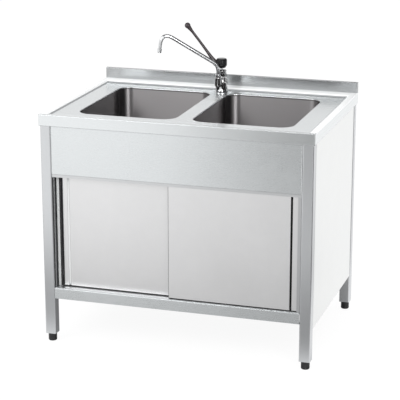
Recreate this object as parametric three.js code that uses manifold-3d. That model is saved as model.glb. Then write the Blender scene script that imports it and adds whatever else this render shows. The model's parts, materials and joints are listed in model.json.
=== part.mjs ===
// Stainless double-bowl sink unit on four square legs, with a sliding-door cupboard below.
// Millimetres. +X to the right, +Y to the back, +Z up; the origin is on the floor, under the
// middle of the worktop. The front of the unit faces -Y.

import * as THREE from 'three';
import { mergeVertices } from 'three/addons/utils/BufferGeometryUtils.js';
import Module from 'manifold-3d';

const wasm = await Module();
wasm.setup();

// ---------------------------------------------------------------- driving dimensions

// Worktop
const topWidth = 1000;
const topDepth = 700;
const topHeight = 850;
const fasciaHeight = 40;
const topSheet = 1.5;
const rimFlat = 20;
const rimSlope = 12;
const deckDrop = 8;
const deckCorner = 6;
const ledgeDepth = 45;
const upstandHeight = 40;
const upstandDepth = 15;

// Bowls
const bowlWidth = 364;
const bowlLength = 480;
const bowlDepth = 250;
const bowlCorner = 50;
const bowlFloorRadius = 38;
const bowlGap = 60;
const bowlFrontMargin = 94;
const bowlSheet = 1.2;
const bowlFlange = 15;

// Legs and feet
const legSide = 40;
const legWall = 1.5;
const legCorner = 5;
const legInset = 4;
const footHeight = 30;
const footRadius = 15.5;
const footChamfer = 2.5;
const stemRadius = 6;
const stemLength = 80;
const plugHeight = 25;

// Cupboard panels
const panelSheet = 1.2;
const panelReturn = 12;
const sideInset = 1;
const sideSeam = 2;
const frontSeam = 3;
const frontPanelBottom = 635;
const panelTopReturn = 39;
const hemHeight = 20;
const hemStep = 4;
const skirtHeight = 140;
const railBottom = 168;
const railHeight = 40;
const railDepth = 60;
const railReturn = 20;
const shelfDepth = 25;

// Sliding doors and their running gear
const trackSheet = 1.5;
const lanePitch = 23.5;
const trackBottom = 624;
const trackHeight = 45.5;
const ledgeRise = 17.5;
const ledgeWidth = 10;
const jambDepth = 11.7;
const guideWidth = 12;
const guideHeight = 13.5;
const doorLap = 14.3;
const doorThickness = 18;
const doorSheet = 1.2;
const doorBottomGap = 6;
const doorTopLap = 4;
const rightDoorClear = 8.7;
const leftDoorClear = 23.7;
const pullStrip = 22;
const pullSlot = 7;
const pullDepth = 10;
const innerLip = 7;
const rollerRadius = 11;
const rollerWidth = 7;
const rollerRearGap = 1;
const axleRadius = 3;
const hangerWidth = 40;
const hangerSheet = 2;
const hangerTail = 38;
const hangerHead = 8;
const hangerBlock = 16;
const hangerInset = 80;

// Wastes and pipework
const wasteRim = 42;
const wasteRimHeight = 2.5;
const wasteCup = 32;
const wasteCupDepth = 14;
const wasteWall = 2;
const wasteBore = 18;
const wasteSpigot = 40;
const strainerSheet = 1.5;
const strainerHole = 2.5;
const strainerHoles = 10;
const strainerRing = 20;
const knobRadius = 6;
const knobHeight = 9;
const tailFlange = 44;
const tailFlangeDrop = 22;
const tailLength = 90;
const pipeRadius = 20;
const pipeWall = 3;
const pipeBend = 45;
const branchDrop = 50;
const collarRadius = 27;
const collarDepth = 18;
const teeReach = 60;
const teeDrop = 40;
const dipRadius = 15;
const dipLength = 70;
const trapRadius = 40;
const trapHeight = 110;
const trapBossReach = 12;
const outletRise = 70;
const outletStub = 3;

// Tap
const tapRear = 114;
const tapTurn = 260;
const tapBaseRadius = 27;
const tapBaseHeight = 6;
const shankRadius = 14.7;
const shankBore = 7;
const shankHole = 17.5;
const shankLength = 48;
const lockNutFlat = 23;
const lockNutHeight = 10;
const tapBodyHeight = 80;
const tapFootRadius = 22;
const tapWaistRadius = 23;
const tapNeckRadius = 18.5;
const tapTopRadius = 17;
const tapWaistRise = 34;
const tapNeckRise = 55;
const cartridgeRadius = 14;
const cartridgeHeight = 18;
const socketReach = 30;
const socketRadius = 12.5;
const socketBottom = 22;
const socketTop = 56.4;
const spoutRadius = 7;
const spoutWall = 1.2;
const spoutSink = 12;
const spoutRise = 46;
const spoutReach = 210;
const spoutClimb = 132;
const spoutFall = 77;
const spoutLean = 10;
const spoutTurn = 205;
const lowerBend = 22;
const upperBend = 50;
const spoutNutFlat = 9.5;
const spoutNutHeight = 9.7;
const aeratorRadius = 8.6;
const aeratorBore = 5;
const aeratorLength = 13;
const aeratorNose = 2;

// Lever
const leverTurn = 195;
const pivotRise = 21.4;
const hubRadius = 20.5;
const hubTop = 22;
const hubFoot = 13;
const hubFootRadius = 14.5;
const hubTaper = 10;
const hubEdge = 3;
const hubCavity = 11.5;
const hubCavityTop = 6;
const leverStemRadius = 4;
const leverStemTop = 4;
const crossPinRadius = 2.5;
const crossPinReach = 17;
const leverSlope = 53.7;
const leverSeatReach = 22;
const leverSeatRise = 1.4;
const leverTenonRadius = 5;
const leverTenonLength = 6;
const leverRootRadius = 9;
const leverRootLength = 14;
const leverTaper = 42;
const leverArmRadius = 5.3;
const leverLength = 181;
const leverTipRadius = 9.5;
const leverTipTaper = 26;

// Clearances
const fit = 0.3;
const pinFit = 0.3;
const pipeFit = 0.5;
const stemFit = 0.4;
const guideFit = 0.9;
const overcut = 5;

// ---------------------------------------------------------------- derived places

const radians = THREE.MathUtils.degToRad;

const legOuterX = topWidth / 2 - legInset;
const legInnerX = legOuterX - legSide;
const legOuterY = topDepth / 2 - legInset;
const legInnerY = legOuterY - legSide;
const legX = legOuterX - legSide / 2;
const legY = legOuterY - legSide / 2;

const fasciaBottom = topHeight - fasciaHeight;
const rimUnder = topHeight - topSheet;
const deckZ = topHeight - deckDrop;
const deckUnder = deckZ - topSheet;
const upstandFront = topDepth / 2 - upstandDepth;

const bowlX = (bowlGap + bowlWidth) / 2;
const bowlY = -topDepth / 2 + bowlFrontMargin + bowlLength / 2;
const bowlFloor = deckZ - bowlDepth;

const frontFace = -legOuterY;
const betweenLegs = legInnerX - fit;
const railTop = railBottom + railHeight;
const railBack = frontFace + railDepth;
const sideFace = legOuterX - sideInset;
const sideInner = sideFace - panelReturn;
const backFace = legOuterY - sideInset;
const backInner = backFace - panelReturn;

const trackFront = frontFace + hemStep + fit;
const trackBack = trackFront + 2 * lanePitch + trackSheet;
const trackTop = trackBottom + trackHeight;
const ledgeTop = trackBottom + ledgeRise;
const guideBase = railTop + fit;
const guideTop = guideBase + guideHeight;
const doorWidth = betweenLegs + doorLap;
const rightDoorEnd = betweenLegs - rightDoorClear;
const leftDoorEnd = leftDoorClear - betweenLegs;
const doorBottom = railTop + doorBottomGap;
const doorTop = trackBottom + doorTopLap;
const axleZ = ledgeTop + fit + rollerRadius;
const laneHalf = (lanePitch - trackSheet) / 2;

const pipeZ = bowlFloor - tailLength - branchDrop;
const trapTop = pipeZ - teeDrop - fit;
const trapBottom = trapTop - trapHeight;
const outletZ = trapBottom + outletRise;

const tapY = topDepth / 2 - tapRear;
const tapBaseZ = deckZ + fit;
const tapBodyZ = tapBaseZ + tapBaseHeight + fit;
const tapBodyTop = tapBodyZ + tapBodyHeight;
const pivotZ = tapBodyTop + pivotRise;
const socketZ = tapBodyZ + socketTop;
const spoutX = socketReach * Math.cos(radians(tapTurn));
const spoutY = tapY + socketReach * Math.sin(radians(tapTurn));
const spoutBottom = socketZ - spoutSink;
const spoutLowZ = socketZ + spoutRise;
const spoutHighZ = spoutLowZ + spoutClimb;

const lipFront = (index) => trackFront + index * lanePitch;
const laneCentre = (lane) => lipFront(lane) + trackSheet + laneHalf;

// ---------------------------------------------------------------- finishes

const brushedSteel = { color: 0xdfe5e7, roughness: 0.32, metalness: 0.9 };
const legSteel = { color: 0xcdd1d4, roughness: 0.36, metalness: 0.9 };
const doorSteel = { color: 0xdcdcde, roughness: 0.4, metalness: 0.8 };
const bowlSteel = { color: 0x9a9ca0, roughness: 0.28, metalness: 0.95 };
const galvanised = { color: 0xa9acae, roughness: 0.5, metalness: 0.8 };
const chrome = { color: 0xe8eaec, roughness: 0.08, metalness: 1 };
const blackPlastic = { color: 0x17171a, roughness: 0.45, metalness: 0 };
const darkLever = { color: 0x4a4246, roughness: 0.35, metalness: 0.2 };
const whitePlastic = { color: 0xe9e9e4, roughness: 0.5, metalness: 0 };
const nylon = { color: 0xd8d6cc, roughness: 0.55, metalness: 0 };

// ---------------------------------------------------------------- helpers

const group = new THREE.Group();

function solid(geometry) {
  const bare = geometry.clone();
  bare.deleteAttribute('normal');
  bare.deleteAttribute('uv');
  const merged = mergeVertices(bare);
  return new wasm.Manifold(new wasm.Mesh({
    numProp: 3,
    vertProperties: new Float32Array(merged.attributes.position.array),
    triVerts: new Uint32Array(merged.index.array),
  }));
}

function geometryOf(manifold) {
  const mesh = manifold.getMesh();
  const geometry = new THREE.BufferGeometry();
  geometry.setAttribute('position', new THREE.BufferAttribute(mesh.vertProperties, 3));
  geometry.setIndex(new THREE.BufferAttribute(mesh.triVerts, 1));
  return geometry;
}

// Adds a named piece to the unit, its own origin at x, y, z, turned by `turn` degrees about +Z.
function add(name, shape, look, [x, y, z] = [0, 0, 0], turn = 0) {
  const geometry = shape.isBufferGeometry ? shape : geometryOf(shape);
  const mesh = new THREE.Mesh(geometry, new THREE.MeshStandardMaterial(look));
  mesh.name = name;
  mesh.position.set(x, y, z);
  mesh.rotation.z = radians(turn);
  group.add(mesh);
}

// A block between two values along each axis, in either order.
function block([x0, x1], [y0, y1], [z0, z1]) {
  const geometry = new THREE.BoxGeometry(Math.abs(x1 - x0), Math.abs(y1 - y0), Math.abs(z1 - z0));
  return solid(geometry.translate((x0 + x1) / 2, (y0 + y1) / 2, (z0 + z1) / 2));
}

function roundedRect(width, depth, radius) {
  const x = width / 2 - radius;
  const y = depth / 2 - radius;
  return new THREE.Shape()
    .absarc(x, -y, radius, -Math.PI / 2, 0)
    .absarc(x, y, radius, 0, Math.PI / 2)
    .absarc(-x, y, radius, Math.PI / 2, Math.PI)
    .absarc(-x, -y, radius, Math.PI, Math.PI * 1.5);
}

const circle = (radius) => new THREE.Shape().absarc(0, 0, radius, 0, Math.PI * 2);

function hexagon(flatRadius) {
  const reach = flatRadius / Math.cos(Math.PI / 6);
  const corner = (_, i) => new THREE.Vector2(reach, 0).rotateAround(new THREE.Vector2(), (i * Math.PI) / 3);
  return new THREE.Shape(Array.from({ length: 6 }, corner));
}

function pierced(shape, radius) {
  shape.holes.push(new THREE.Path().absarc(0, 0, radius, 0, Math.PI * 2, true));
  return shape;
}

function prism(shape, z0, z1, curveSegments = 3) {
  const geometry = new THREE.ExtrudeGeometry(shape, { depth: z1 - z0, bevelEnabled: false, curveSegments });
  return geometry.translate(0, 0, z0);
}

// A profile drawn in Y and Z, run along X to both sides of the middle.
function run(shape, halfLength) {
  const axes = new THREE.Matrix4().makeBasis(
    new THREE.Vector3(0, 1, 0),
    new THREE.Vector3(0, 0, 1),
    new THREE.Vector3(1, 0, 0),
  );
  return prism(shape, -halfLength, halfLength).applyMatrix4(axes);
}

// A profile of [radius, height] pairs turned about +Z.
function turned(profile, segments = 24) {
  const points = profile.map(([radius, height]) => new THREE.Vector2(radius, height));
  return new THREE.LatheGeometry(points, segments).rotateX(Math.PI / 2);
}

function rod(radius, z0, z1, segments = 24) {
  const geometry = new THREE.CylinderGeometry(radius, radius, z1 - z0, segments);
  return geometry.rotateX(Math.PI / 2).translate(0, 0, (z0 + z1) / 2);
}

const rodAlongX = (radius, x0, x1) => rod(radius, x0, x1).rotateY(Math.PI / 2);
const rodAlongY = (radius, y0, y1, segments) => rod(radius, y0, y1, segments).rotateX(-Math.PI / 2);

// A bent sheet of even thickness, lying to the left of its line of points.
function bentSheet(points, thickness) {
  const line = points.map(([x, y]) => new THREE.Vector2(x, y));
  const normals = line.slice(1).map((point, i) => {
    const along = point.clone().sub(line[i]).normalize();
    return new THREE.Vector2(-along.y, along.x);
  });
  const offset = line.map((point, i) => {
    const before = normals[Math.max(i - 1, 0)];
    const after = normals[Math.min(i, normals.length - 1)];
    const mitre = before.clone().add(after);
    return point.clone().addScaledVector(mitre, (2 * thickness) / mitre.lengthSq());
  });
  return new THREE.Shape([...line, ...offset.reverse()]);
}

// A line through corners, each rounded by a curve that starts and ends `bend` away from it.
function roundedPath(corners, bends) {
  const path = new THREE.CurvePath();
  let start = corners[0];
  bends.forEach((bend, i) => {
    const corner = corners[i + 1];
    const enter = corners[i].clone().sub(corner).setLength(bend).add(corner);
    const leave = corners[i + 2].clone().sub(corner).setLength(bend).add(corner);
    path.add(new THREE.LineCurve3(start, enter));
    path.add(new THREE.QuadraticBezierCurve3(enter, corner, leave));
    start = leave;
  });
  path.add(new THREE.LineCurve3(start, corners[corners.length - 1]));
  return path;
}

function pipe(path, radius, wall, steps) {
  const section = pierced(circle(radius), radius - wall);
  return new THREE.ExtrudeGeometry(section, { steps, curveSegments: 5, extrudePath: path });
}

// ---------------------------------------------------------------- worktop and bowls

// The sunk part of the deck as a block that widens up its sloping sides, `grow` larger all round.
function deckWell(grow) {
  const halfWidth = topWidth / 2 - rimFlat - rimSlope + grow;
  const front = -topDepth / 2 + rimFlat + rimSlope - grow;
  const rear = upstandFront - ledgeDepth - rimSlope + grow;
  const geometry = new THREE.ExtrudeGeometry(roundedRect(2 * halfWidth, rear - front, deckCorner + grow), {
    depth: overcut,
    bevelThickness: deckDrop,
    bevelSize: rimSlope,
    bevelSegments: 1,
    curveSegments: 2,
  });
  return solid(geometry.translate(0, (front + rear) / 2, topHeight - grow));
}

function bowlOpening(side) {
  const plan = roundedRect(bowlWidth, bowlLength, bowlCorner);
  return solid(prism(plan, deckUnder - overcut, deckZ + overcut).translate(side * bowlX, bowlY, 0));
}

// One folded sheet: fascia all round, raised rim, sunk deck, rear ledge and hollow upstand.
function worktop() {
  const x = topWidth / 2;
  const y = topDepth / 2;
  const insideX = [topSheet - x, x - topSheet];
  const upstandTop = topHeight + upstandHeight;
  const outside = block([-x, x], [-y, y], [fasciaBottom, topHeight])
    .add(block([-x, x], [upstandFront, y], [fasciaBottom, upstandTop]));
  const hollow = block(insideX, [topSheet - y, y - topSheet], [fasciaBottom - overcut, rimUnder])
    .add(block(insideX, [upstandFront + topSheet, y - topSheet], [fasciaBottom, upstandTop - topSheet]));
  return outside
    .subtract(hollow.subtract(deckWell(topSheet)))
    .subtract(deckWell(0))
    .subtract(bowlOpening(-1))
    .subtract(bowlOpening(1))
    .subtract(solid(rod(shankHole, deckUnder - overcut, deckZ + overcut).translate(0, tapY, 0)));
}

// A block with the bowl's plan and rounded floor edge, `grow` larger all round.
function bowlBlock(grow) {
  const radius = bowlFloorRadius + grow;
  const plan = roundedRect(bowlWidth + 2 * grow, bowlLength + 2 * grow, bowlCorner + grow);
  const geometry = new THREE.ExtrudeGeometry(plan, {
    depth: bowlDepth,
    bevelThickness: radius,
    bevelSize: radius,
    bevelOffset: -radius,
    bevelSegments: 4,
    curveSegments: 3,
  });
  return solid(geometry.translate(0, 0, bowlFloor + radius - grow));
}

function bowl() {
  const plan = roundedRect(bowlWidth + 2 * bowlFlange, bowlLength + 2 * bowlFlange, bowlCorner + bowlFlange);
  const flange = solid(prism(plan, deckUnder - bowlSheet, deckUnder));
  const above = block([-bowlWidth, bowlWidth], [-bowlLength, bowlLength], [deckUnder, topHeight + bowlDepth]);
  const hole = rod(wasteCup + wasteWall + fit, bowlFloor - overcut, bowlFloor + overcut);
  return bowlBlock(bowlSheet)
    .add(flange)
    .subtract(above)
    .subtract(bowlBlock(0))
    .subtract(solid(hole));
}

// ---------------------------------------------------------------- wastes and pipework

// The pieces of a waste are drawn with the bowl floor at height zero.
function wasteFlange() {
  const spigot = wasteBore + wasteWall;
  const rimTop = fit + wasteRimHeight;
  return turned([
    [wasteCup + wasteWall, fit],
    [wasteRim, fit],
    [wasteRim, fit + wasteRimHeight / 2],
    [wasteRim - wasteRimHeight, rimTop],
    [wasteCup + wasteRimHeight, rimTop],
    [wasteCup, fit],
    [wasteCup, -wasteCupDepth],
    [wasteBore, -wasteCupDepth],
    [wasteBore, -wasteSpigot],
    [spigot, -wasteSpigot],
    [spigot, -wasteCupDepth - wasteWall],
    [wasteCup + wasteWall, -wasteCupDepth - wasteWall],
    [wasteCup + wasteWall, fit],
  ]);
}

function wasteStrainer() {
  const bottom = fit - wasteCupDepth;
  const top = bottom + strainerSheet;
  const plate = solid(turned([
    [0, bottom],
    [wasteCup - fit, bottom],
    [wasteCup - fit, top],
    [knobRadius / 2, top],
    [knobRadius / 2, top + knobHeight / 2],
    [knobRadius, top + knobHeight * 0.75],
    [knobRadius / 2, top + knobHeight],
    [0, top + knobHeight],
  ]));
  const drill = rod(strainerHole, bottom - overcut, top + overcut, 6).translate(strainerRing, 0, 0);
  const holes = Array.from({ length: strainerHoles }, (_, i) => (
    solid(drill.clone().rotateZ((i * 2 * Math.PI) / strainerHoles))
  ));
  return holes.reduce((left, hole) => left.subtract(hole), plate);
}

function wasteTail() {
  const neck = wasteCup + wasteWall + fit;
  const socket = wasteBore + wasteWall + fit;
  const top = -bowlSheet - fit;
  const seat = -wasteCupDepth - wasteWall - fit;
  const ledge = -wasteSpigot - fit;
  return turned([
    [neck, top],
    [neck, seat],
    [socket, seat],
    [socket, ledge],
    [pipeRadius - pipeWall, ledge],
    [pipeRadius - pipeWall, collarDepth - tailLength],
    [pipeRadius + fit, collarDepth - tailLength],
    [pipeRadius + fit, -tailLength],
    [collarRadius, -tailLength],
    [collarRadius, -tailFlangeDrop - wasteWall],
    [tailFlange, -tailFlangeDrop],
    [tailFlange, top],
    [neck, top],
  ]);
}

function branchPipe(side) {
  const top = bowlFloor - tailLength + collarDepth - pipeFit;
  const inTee = teeReach - collarDepth + pipeFit;
  const corners = [
    new THREE.Vector3(side * bowlX, bowlY, top),
    new THREE.Vector3(side * bowlX, bowlY, pipeZ),
    new THREE.Vector3(side * inTee, bowlY, pipeZ),
  ];
  return pipe(roundedPath(corners, [pipeBend]), pipeRadius, pipeWall, 12);
}

// Drawn with the crossing of its bores at height zero.
function drainTee() {
  const bore = pipeRadius - pipeWall;
  const socket = pipeRadius + fit;
  const dipEnd = -teeDrop - dipLength;
  return solid(rodAlongX(collarRadius, -teeReach, teeReach))
    .add(solid(rod(collarRadius, -teeDrop, 0)))
    .add(solid(rod(dipRadius + pipeWall, dipEnd, -teeDrop / 2)))
    .subtract(solid(rodAlongX(bore, -teeReach - overcut, teeReach + overcut)))
    .subtract(solid(rodAlongX(socket, teeReach - collarDepth, teeReach + overcut)))
    .subtract(solid(rodAlongX(socket, -teeReach - overcut, collarDepth - teeReach)))
    .subtract(solid(rod(dipRadius, dipEnd - overcut, 0)));
}

// The bottle under the tee, with a side boss for the outlet.
function trapBottle() {
  const inner = trapRadius - pipeWall;
  const neck = dipRadius + pipeWall + fit;
  const bossEnd = trapRadius + trapBossReach;
  const cup = turned([
    [0, trapBottom],
    [trapRadius, trapBottom],
    [trapRadius, trapTop],
    [neck, trapTop],
    [neck, trapTop - pipeWall],
    [inner, trapTop - pipeWall],
    [inner, trapBottom + pipeWall],
    [0, trapBottom + pipeWall],
  ]);
  const boss = rodAlongY(collarRadius, trapRadius / 2, bossEnd).translate(0, 0, outletZ);
  const inside = rod(inner, trapBottom + pipeWall, trapTop - pipeWall);
  const bore = rodAlongY(pipeRadius + fit, 0, bossEnd + overcut).translate(0, 0, outletZ);
  return solid(cup)
    .add(solid(boss).subtract(solid(inside)))
    .subtract(solid(bore));
}

function outletPipe() {
  const from = bowlY + trapRadius;
  const to = backFace + outletStub;
  return solid(rodAlongY(pipeRadius, from, to))
    .subtract(solid(rodAlongY(pipeRadius - pipeWall, from - overcut, to + overcut)));
}

// ---------------------------------------------------------------- legs and feet

function leg(top) {
  const tube = roundedRect(legSide, legSide, legCorner);
  const bore = legSide - 2 * legWall;
  tube.holes.push(roundedRect(bore, bore, legCorner - legWall));
  return prism(tube, footHeight, top, 2);
}

function legPlug() {
  const side = legSide - 2 * legWall - 2 * fit;
  const plug = pierced(roundedRect(side, side, legCorner - legWall), stemRadius + stemFit);
  return prism(plug, footHeight, footHeight + plugHeight, 5);
}

function foot() {
  const collarTop = footHeight - fit;
  return turned([
    [0, 0],
    [footRadius - footChamfer, 0],
    [footRadius, footChamfer],
    [footRadius, collarTop],
    [stemRadius, collarTop],
    [stemRadius, collarTop + stemLength],
    [0, collarTop + stemLength],
  ], 16);
}

// ---------------------------------------------------------------- cupboard panels

// The apron above the doors: hemmed at the bottom, folded back under the deck at the top.
function frontPanel() {
  const line = [
    [frontFace + panelTopReturn, deckUnder - fit],
    [frontFace, deckUnder - fit],
    [frontFace, frontPanelBottom],
    [frontFace + hemStep, frontPanelBottom],
    [frontFace + hemStep, frontPanelBottom + hemHeight],
  ];
  return run(bentSheet(line, panelSheet), legInnerX - frontSeam);
}

function frontRail() {
  const line = [
    [railBack, railTop],
    [frontFace, railTop],
    [frontFace, railBottom],
    [frontFace + railReturn, railBottom],
  ];
  return run(bentSheet(line, panelSheet), betweenLegs);
}

// A shallow tray standing between the legs, open towards the inside.
function sidePanel(side) {
  const y = legInnerY - sideSeam;
  const top = rimUnder - fit;
  const insideX = [side * (sideInner - overcut), side * (sideFace - panelSheet)];
  const inside = block(insideX, [panelSheet - y, y - panelSheet], [skirtHeight + panelSheet, top - panelSheet]);
  return block([side * sideInner, side * sideFace], [-y, y], [skirtHeight, top]).subtract(inside);
}

function backPanel() {
  const x = betweenLegs;
  const top = rimUnder - fit;
  const insideY = [backInner - overcut, backFace - panelSheet];
  const inside = block([panelSheet - x, x - panelSheet], insideY, [skirtHeight + panelSheet, top - panelSheet]);
  const hole = rodAlongY(pipeRadius + pipeFit, backInner - overcut, backFace + overcut);
  return block([-x, x], [backInner, backFace], [skirtHeight, top])
    .subtract(inside)
    .subtract(solid(hole.translate(0, 0, outletZ)));
}

// The shelf's outline, notched round the rear legs, `inset` smaller all round.
function shelfOutline(inset) {
  const wide = sideInner - fit - inset;
  const narrow = betweenLegs - inset;
  const front = railBack + fit + inset;
  const notch = legInnerY - fit - inset;
  const rear = backInner - fit - inset;
  const corners = [
    [-wide, front], [wide, front], [wide, notch], [narrow, notch],
    [narrow, rear], [-narrow, rear], [-narrow, notch], [-wide, notch],
  ];
  return new THREE.Shape(corners.map(([x, y]) => new THREE.Vector2(x, y)));
}

function shelf() {
  return solid(prism(shelfOutline(0), railTop - shelfDepth, railTop))
    .subtract(solid(prism(shelfOutline(panelSheet), railTop - shelfDepth - overcut, railTop - panelSheet)));
}

// ---------------------------------------------------------------- door tracks

// A double channel open downwards, with a rolling ledge at the back of each lane.
function topTrack() {
  const x = [-betweenLegs, betweenLegs];
  let track = block(x, [trackFront, trackBack], [trackTop - trackSheet, trackTop]);
  [0, 1, 2].map(lipFront).forEach((y) => {
    track = track.add(block(x, [y, y + trackSheet], [trackBottom, trackTop]));
  });
  [1, 2].map(lipFront).forEach((y) => {
    track = track.add(block(x, [y - ledgeWidth, y + trackSheet], [ledgeTop - trackSheet, ledgeTop]));
  });
  return track;
}

// A sheet on the rail with a raised rib in the middle of each lane.
function bottomGuide() {
  const inner = guideWidth / 2 - trackSheet;
  const ribs = [0, 1].map(laneCentre).flatMap((y) => [
    [y - inner, guideBase],
    [y - inner, guideTop - trackSheet],
    [y + inner, guideTop - trackSheet],
    [y + inner, guideBase],
  ]);
  const line = [[trackFront, guideBase], ...ribs, [trackBack, guideBase]];
  return run(bentSheet(line, trackSheet), legInnerX - frontSeam);
}

// A double channel against the legs that takes the outer ends of the doors.
function jamb(side) {
  const z = [guideBase + trackSheet + fit, trackBottom - fit];
  const outer = side * betweenLegs;
  const base = block([outer, outer - side * trackSheet], [trackFront, trackBack], z);
  const lips = [0, 1, 2].map(lipFront).map((y) => (
    block([outer, outer - side * jambDepth], [y, y + trackSheet], z)
  ));
  return lips.reduce((left, lip) => left.add(lip), base);
}

// ---------------------------------------------------------------- sliding doors

// A door is drawn from its outer end at x = 0, towards -side, with the lane's centre at y = 0.
function doorSkin(side, line) {
  const points = line.map(([across, deep]) => [-side * across, deep - doorThickness / 2]);
  const shape = bentSheet(side < 0 ? points : points.reverse(), doorSheet);
  const reach = doorWidth + overcut;
  const half = guideWidth / 2 + guideFit;
  const notch = block([-reach, reach], [-half, half], [doorBottom - overcut, guideTop + guideFit]);
  return solid(prism(shape, doorBottom, doorTop)).subtract(notch);
}

// Front and ends in one folded sheet, with a full-height pull slot near the outer end.
function doorOuter(side) {
  return doorSkin(side, [
    [0, doorThickness],
    [0, 0],
    [pullStrip, 0],
    [pullStrip, pullDepth],
    [pullStrip + pullSlot, pullDepth],
    [pullStrip + pullSlot, 0],
    [doorWidth, 0],
    [doorWidth, doorThickness],
  ]);
}

function doorInner(side) {
  const near = doorSheet + fit;
  const far = doorWidth - doorSheet - fit;
  return doorSkin(side, [
    [far, doorThickness - innerLip],
    [far, doorThickness],
    [near, doorThickness],
    [near, doorThickness - innerLip],
  ]);
}

// Plate, block and axle that carry a door, drawn about the middle of the lane.
function hanger() {
  const half = hangerWidth / 2;
  const bottom = doorTop - hangerTail;
  const skin = doorThickness / 2 - doorSheet - fit;
  const axle = rodAlongY(axleRadius, -hangerSheet / 2, laneHalf - rollerRearGap / 2, 16);
  return block([-half, half], [-hangerSheet, 0], [bottom, axleZ + hangerHead])
    .add(block([-half, half], [-hangerSheet, skin], [bottom, bottom + hangerBlock]))
    .add(solid(axle.translate(0, 0, axleZ)));
}

function roller() {
  const rear = laneHalf - rollerRearGap;
  const wheel = prism(pierced(circle(rollerRadius), axleRadius + pinFit), -rear, rollerWidth - rear, 10);
  return wheel.rotateX(Math.PI / 2);
}

function addDoor(name, side, lane, end) {
  const y = laneCentre(lane);
  add(`${name}_outer`, doorOuter(side), doorSteel, [end, y, 0]);
  add(`${name}_inner`, doorInner(side), galvanised, [end, y, 0]);
  const places = { outer: end - side * hangerInset, meeting: end - side * (doorWidth - hangerInset) };
  Object.entries(places).forEach(([where, x]) => {
    add(`${name}_hanger_${where}`, hanger(), galvanised, [x, y, 0]);
    add(`${name}_roller_${where}`, roller(), nylon, [x, y, axleZ]);
  });
}

// ---------------------------------------------------------------- tap

function tapBase() {
  const top = tapBaseZ + tapBaseHeight;
  return turned([
    [shankBore, deckZ - shankLength],
    [shankRadius, deckZ - shankLength],
    [shankRadius, tapBaseZ],
    [tapBaseRadius, tapBaseZ],
    [tapBaseRadius, tapBaseZ + tapBaseHeight / 3],
    [tapFootRadius, top],
    [shankBore, top],
    [shankBore, deckZ - shankLength],
  ], 32);
}

function lockNut() {
  const top = deckUnder - fit;
  return prism(pierced(hexagon(lockNutFlat), shankRadius + fit), top - lockNutHeight, top, 10);
}

// The tap's casting: the cartridge bore is on top and the spout socket stands off to +X.
function tapBody() {
  const bottom = tapBodyZ;
  const column = turned([
    [0, bottom],
    [tapFootRadius, bottom],
    [tapWaistRadius, bottom + tapWaistRise],
    [tapNeckRadius, bottom + tapNeckRise],
    [tapNeckRadius, tapBodyTop - fit],
    [tapTopRadius, tapBodyTop],
    [0, tapBodyTop],
  ], 32);
  const from = bottom + socketBottom;
  const socket = rod(socketRadius, from, socketZ).translate(socketReach, 0, 0);
  const bridge = block([0, socketReach], [-socketRadius, socketRadius], [from, bottom + tapNeckRise]);
  const spoutBore = rod(spoutRadius + fit, spoutBottom - fit, socketZ + overcut).translate(socketReach, 0, 0);
  const cartridgeBore = rod(cartridgeRadius + fit, tapBodyTop - cartridgeHeight - fit, tapBodyTop + overcut);
  return solid(column)
    .add(solid(socket))
    .add(bridge)
    .subtract(solid(spoutBore))
    .subtract(solid(cartridgeBore));
}

// The spout and what is on it are drawn about the socket's axis, reaching out along +X.
function spout() {
  const corners = [
    new THREE.Vector3(0, 0, spoutBottom),
    new THREE.Vector3(0, 0, spoutLowZ),
    new THREE.Vector3(spoutReach, 0, spoutHighZ),
    new THREE.Vector3(spoutReach + spoutLean, 0, spoutHighZ - spoutFall),
  ];
  return pipe(roundedPath(corners, [lowerBend, upperBend]), spoutRadius, spoutWall, 28);
}

function spoutNut() {
  const bottom = socketZ + fit;
  return prism(pierced(hexagon(spoutNutFlat), spoutRadius + fit), bottom, bottom + spoutNutHeight, 8);
}

function aerator() {
  const sleeve = turned([
    [spoutRadius + fit, aeratorLength],
    [spoutRadius + fit, -fit],
    [aeratorBore, -fit],
    [aeratorBore, -aeratorNose],
    [aeratorRadius, -aeratorNose],
    [aeratorRadius, aeratorLength],
    [spoutRadius + fit, aeratorLength],
  ]);
  return sleeve
    .rotateY(-Math.atan2(spoutLean, spoutFall))
    .translate(spoutReach + spoutLean, 0, spoutHighZ - spoutFall);
}

// The lever's pieces are drawn about their cross pin, with the lever reaching out along +X.
function tapCartridge() {
  const top = -pivotRise;
  const bottom = top - cartridgeHeight;
  const stem = turned([
    [0, bottom],
    [cartridgeRadius, bottom],
    [cartridgeRadius, top],
    [leverStemRadius, top],
    [leverStemRadius, leverStemTop],
    [0, leverStemTop],
  ]);
  return solid(stem).add(solid(rodAlongY(crossPinRadius, -crossPinReach, crossPinReach, 16)));
}

// Leans a piece drawn up the +Z axis along the lever, with its origin on the lever's seat.
function alongLever(geometry) {
  return geometry
    .rotateY(radians(90 - leverSlope))
    .translate(leverSeatReach, 0, leverSeatRise);
}

function tapHub() {
  const cap = turned([
    [0, hubCavityTop],
    [hubCavity, hubCavityTop],
    [hubCavity, -hubFoot],
    [hubFootRadius, -hubFoot],
    [hubRadius, hubTaper - hubFoot],
    [hubRadius, hubTop - hubEdge],
    [hubRadius - hubEdge, hubTop],
    [0, hubTop],
  ], 32);
  const pinReach = crossPinReach + pinFit;
  const rootPocket = rod(leverRootRadius + fit, -fit, leverRootLength + overcut);
  const tenonPocket = rod(leverTenonRadius + fit, -leverTenonLength - fit, leverRootLength);
  return solid(cap)
    .subtract(solid(rodAlongY(crossPinRadius + pinFit, -pinReach, pinReach, 16)))
    .subtract(solid(alongLever(rootPocket)))
    .subtract(solid(alongLever(tenonPocket)));
}

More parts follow.
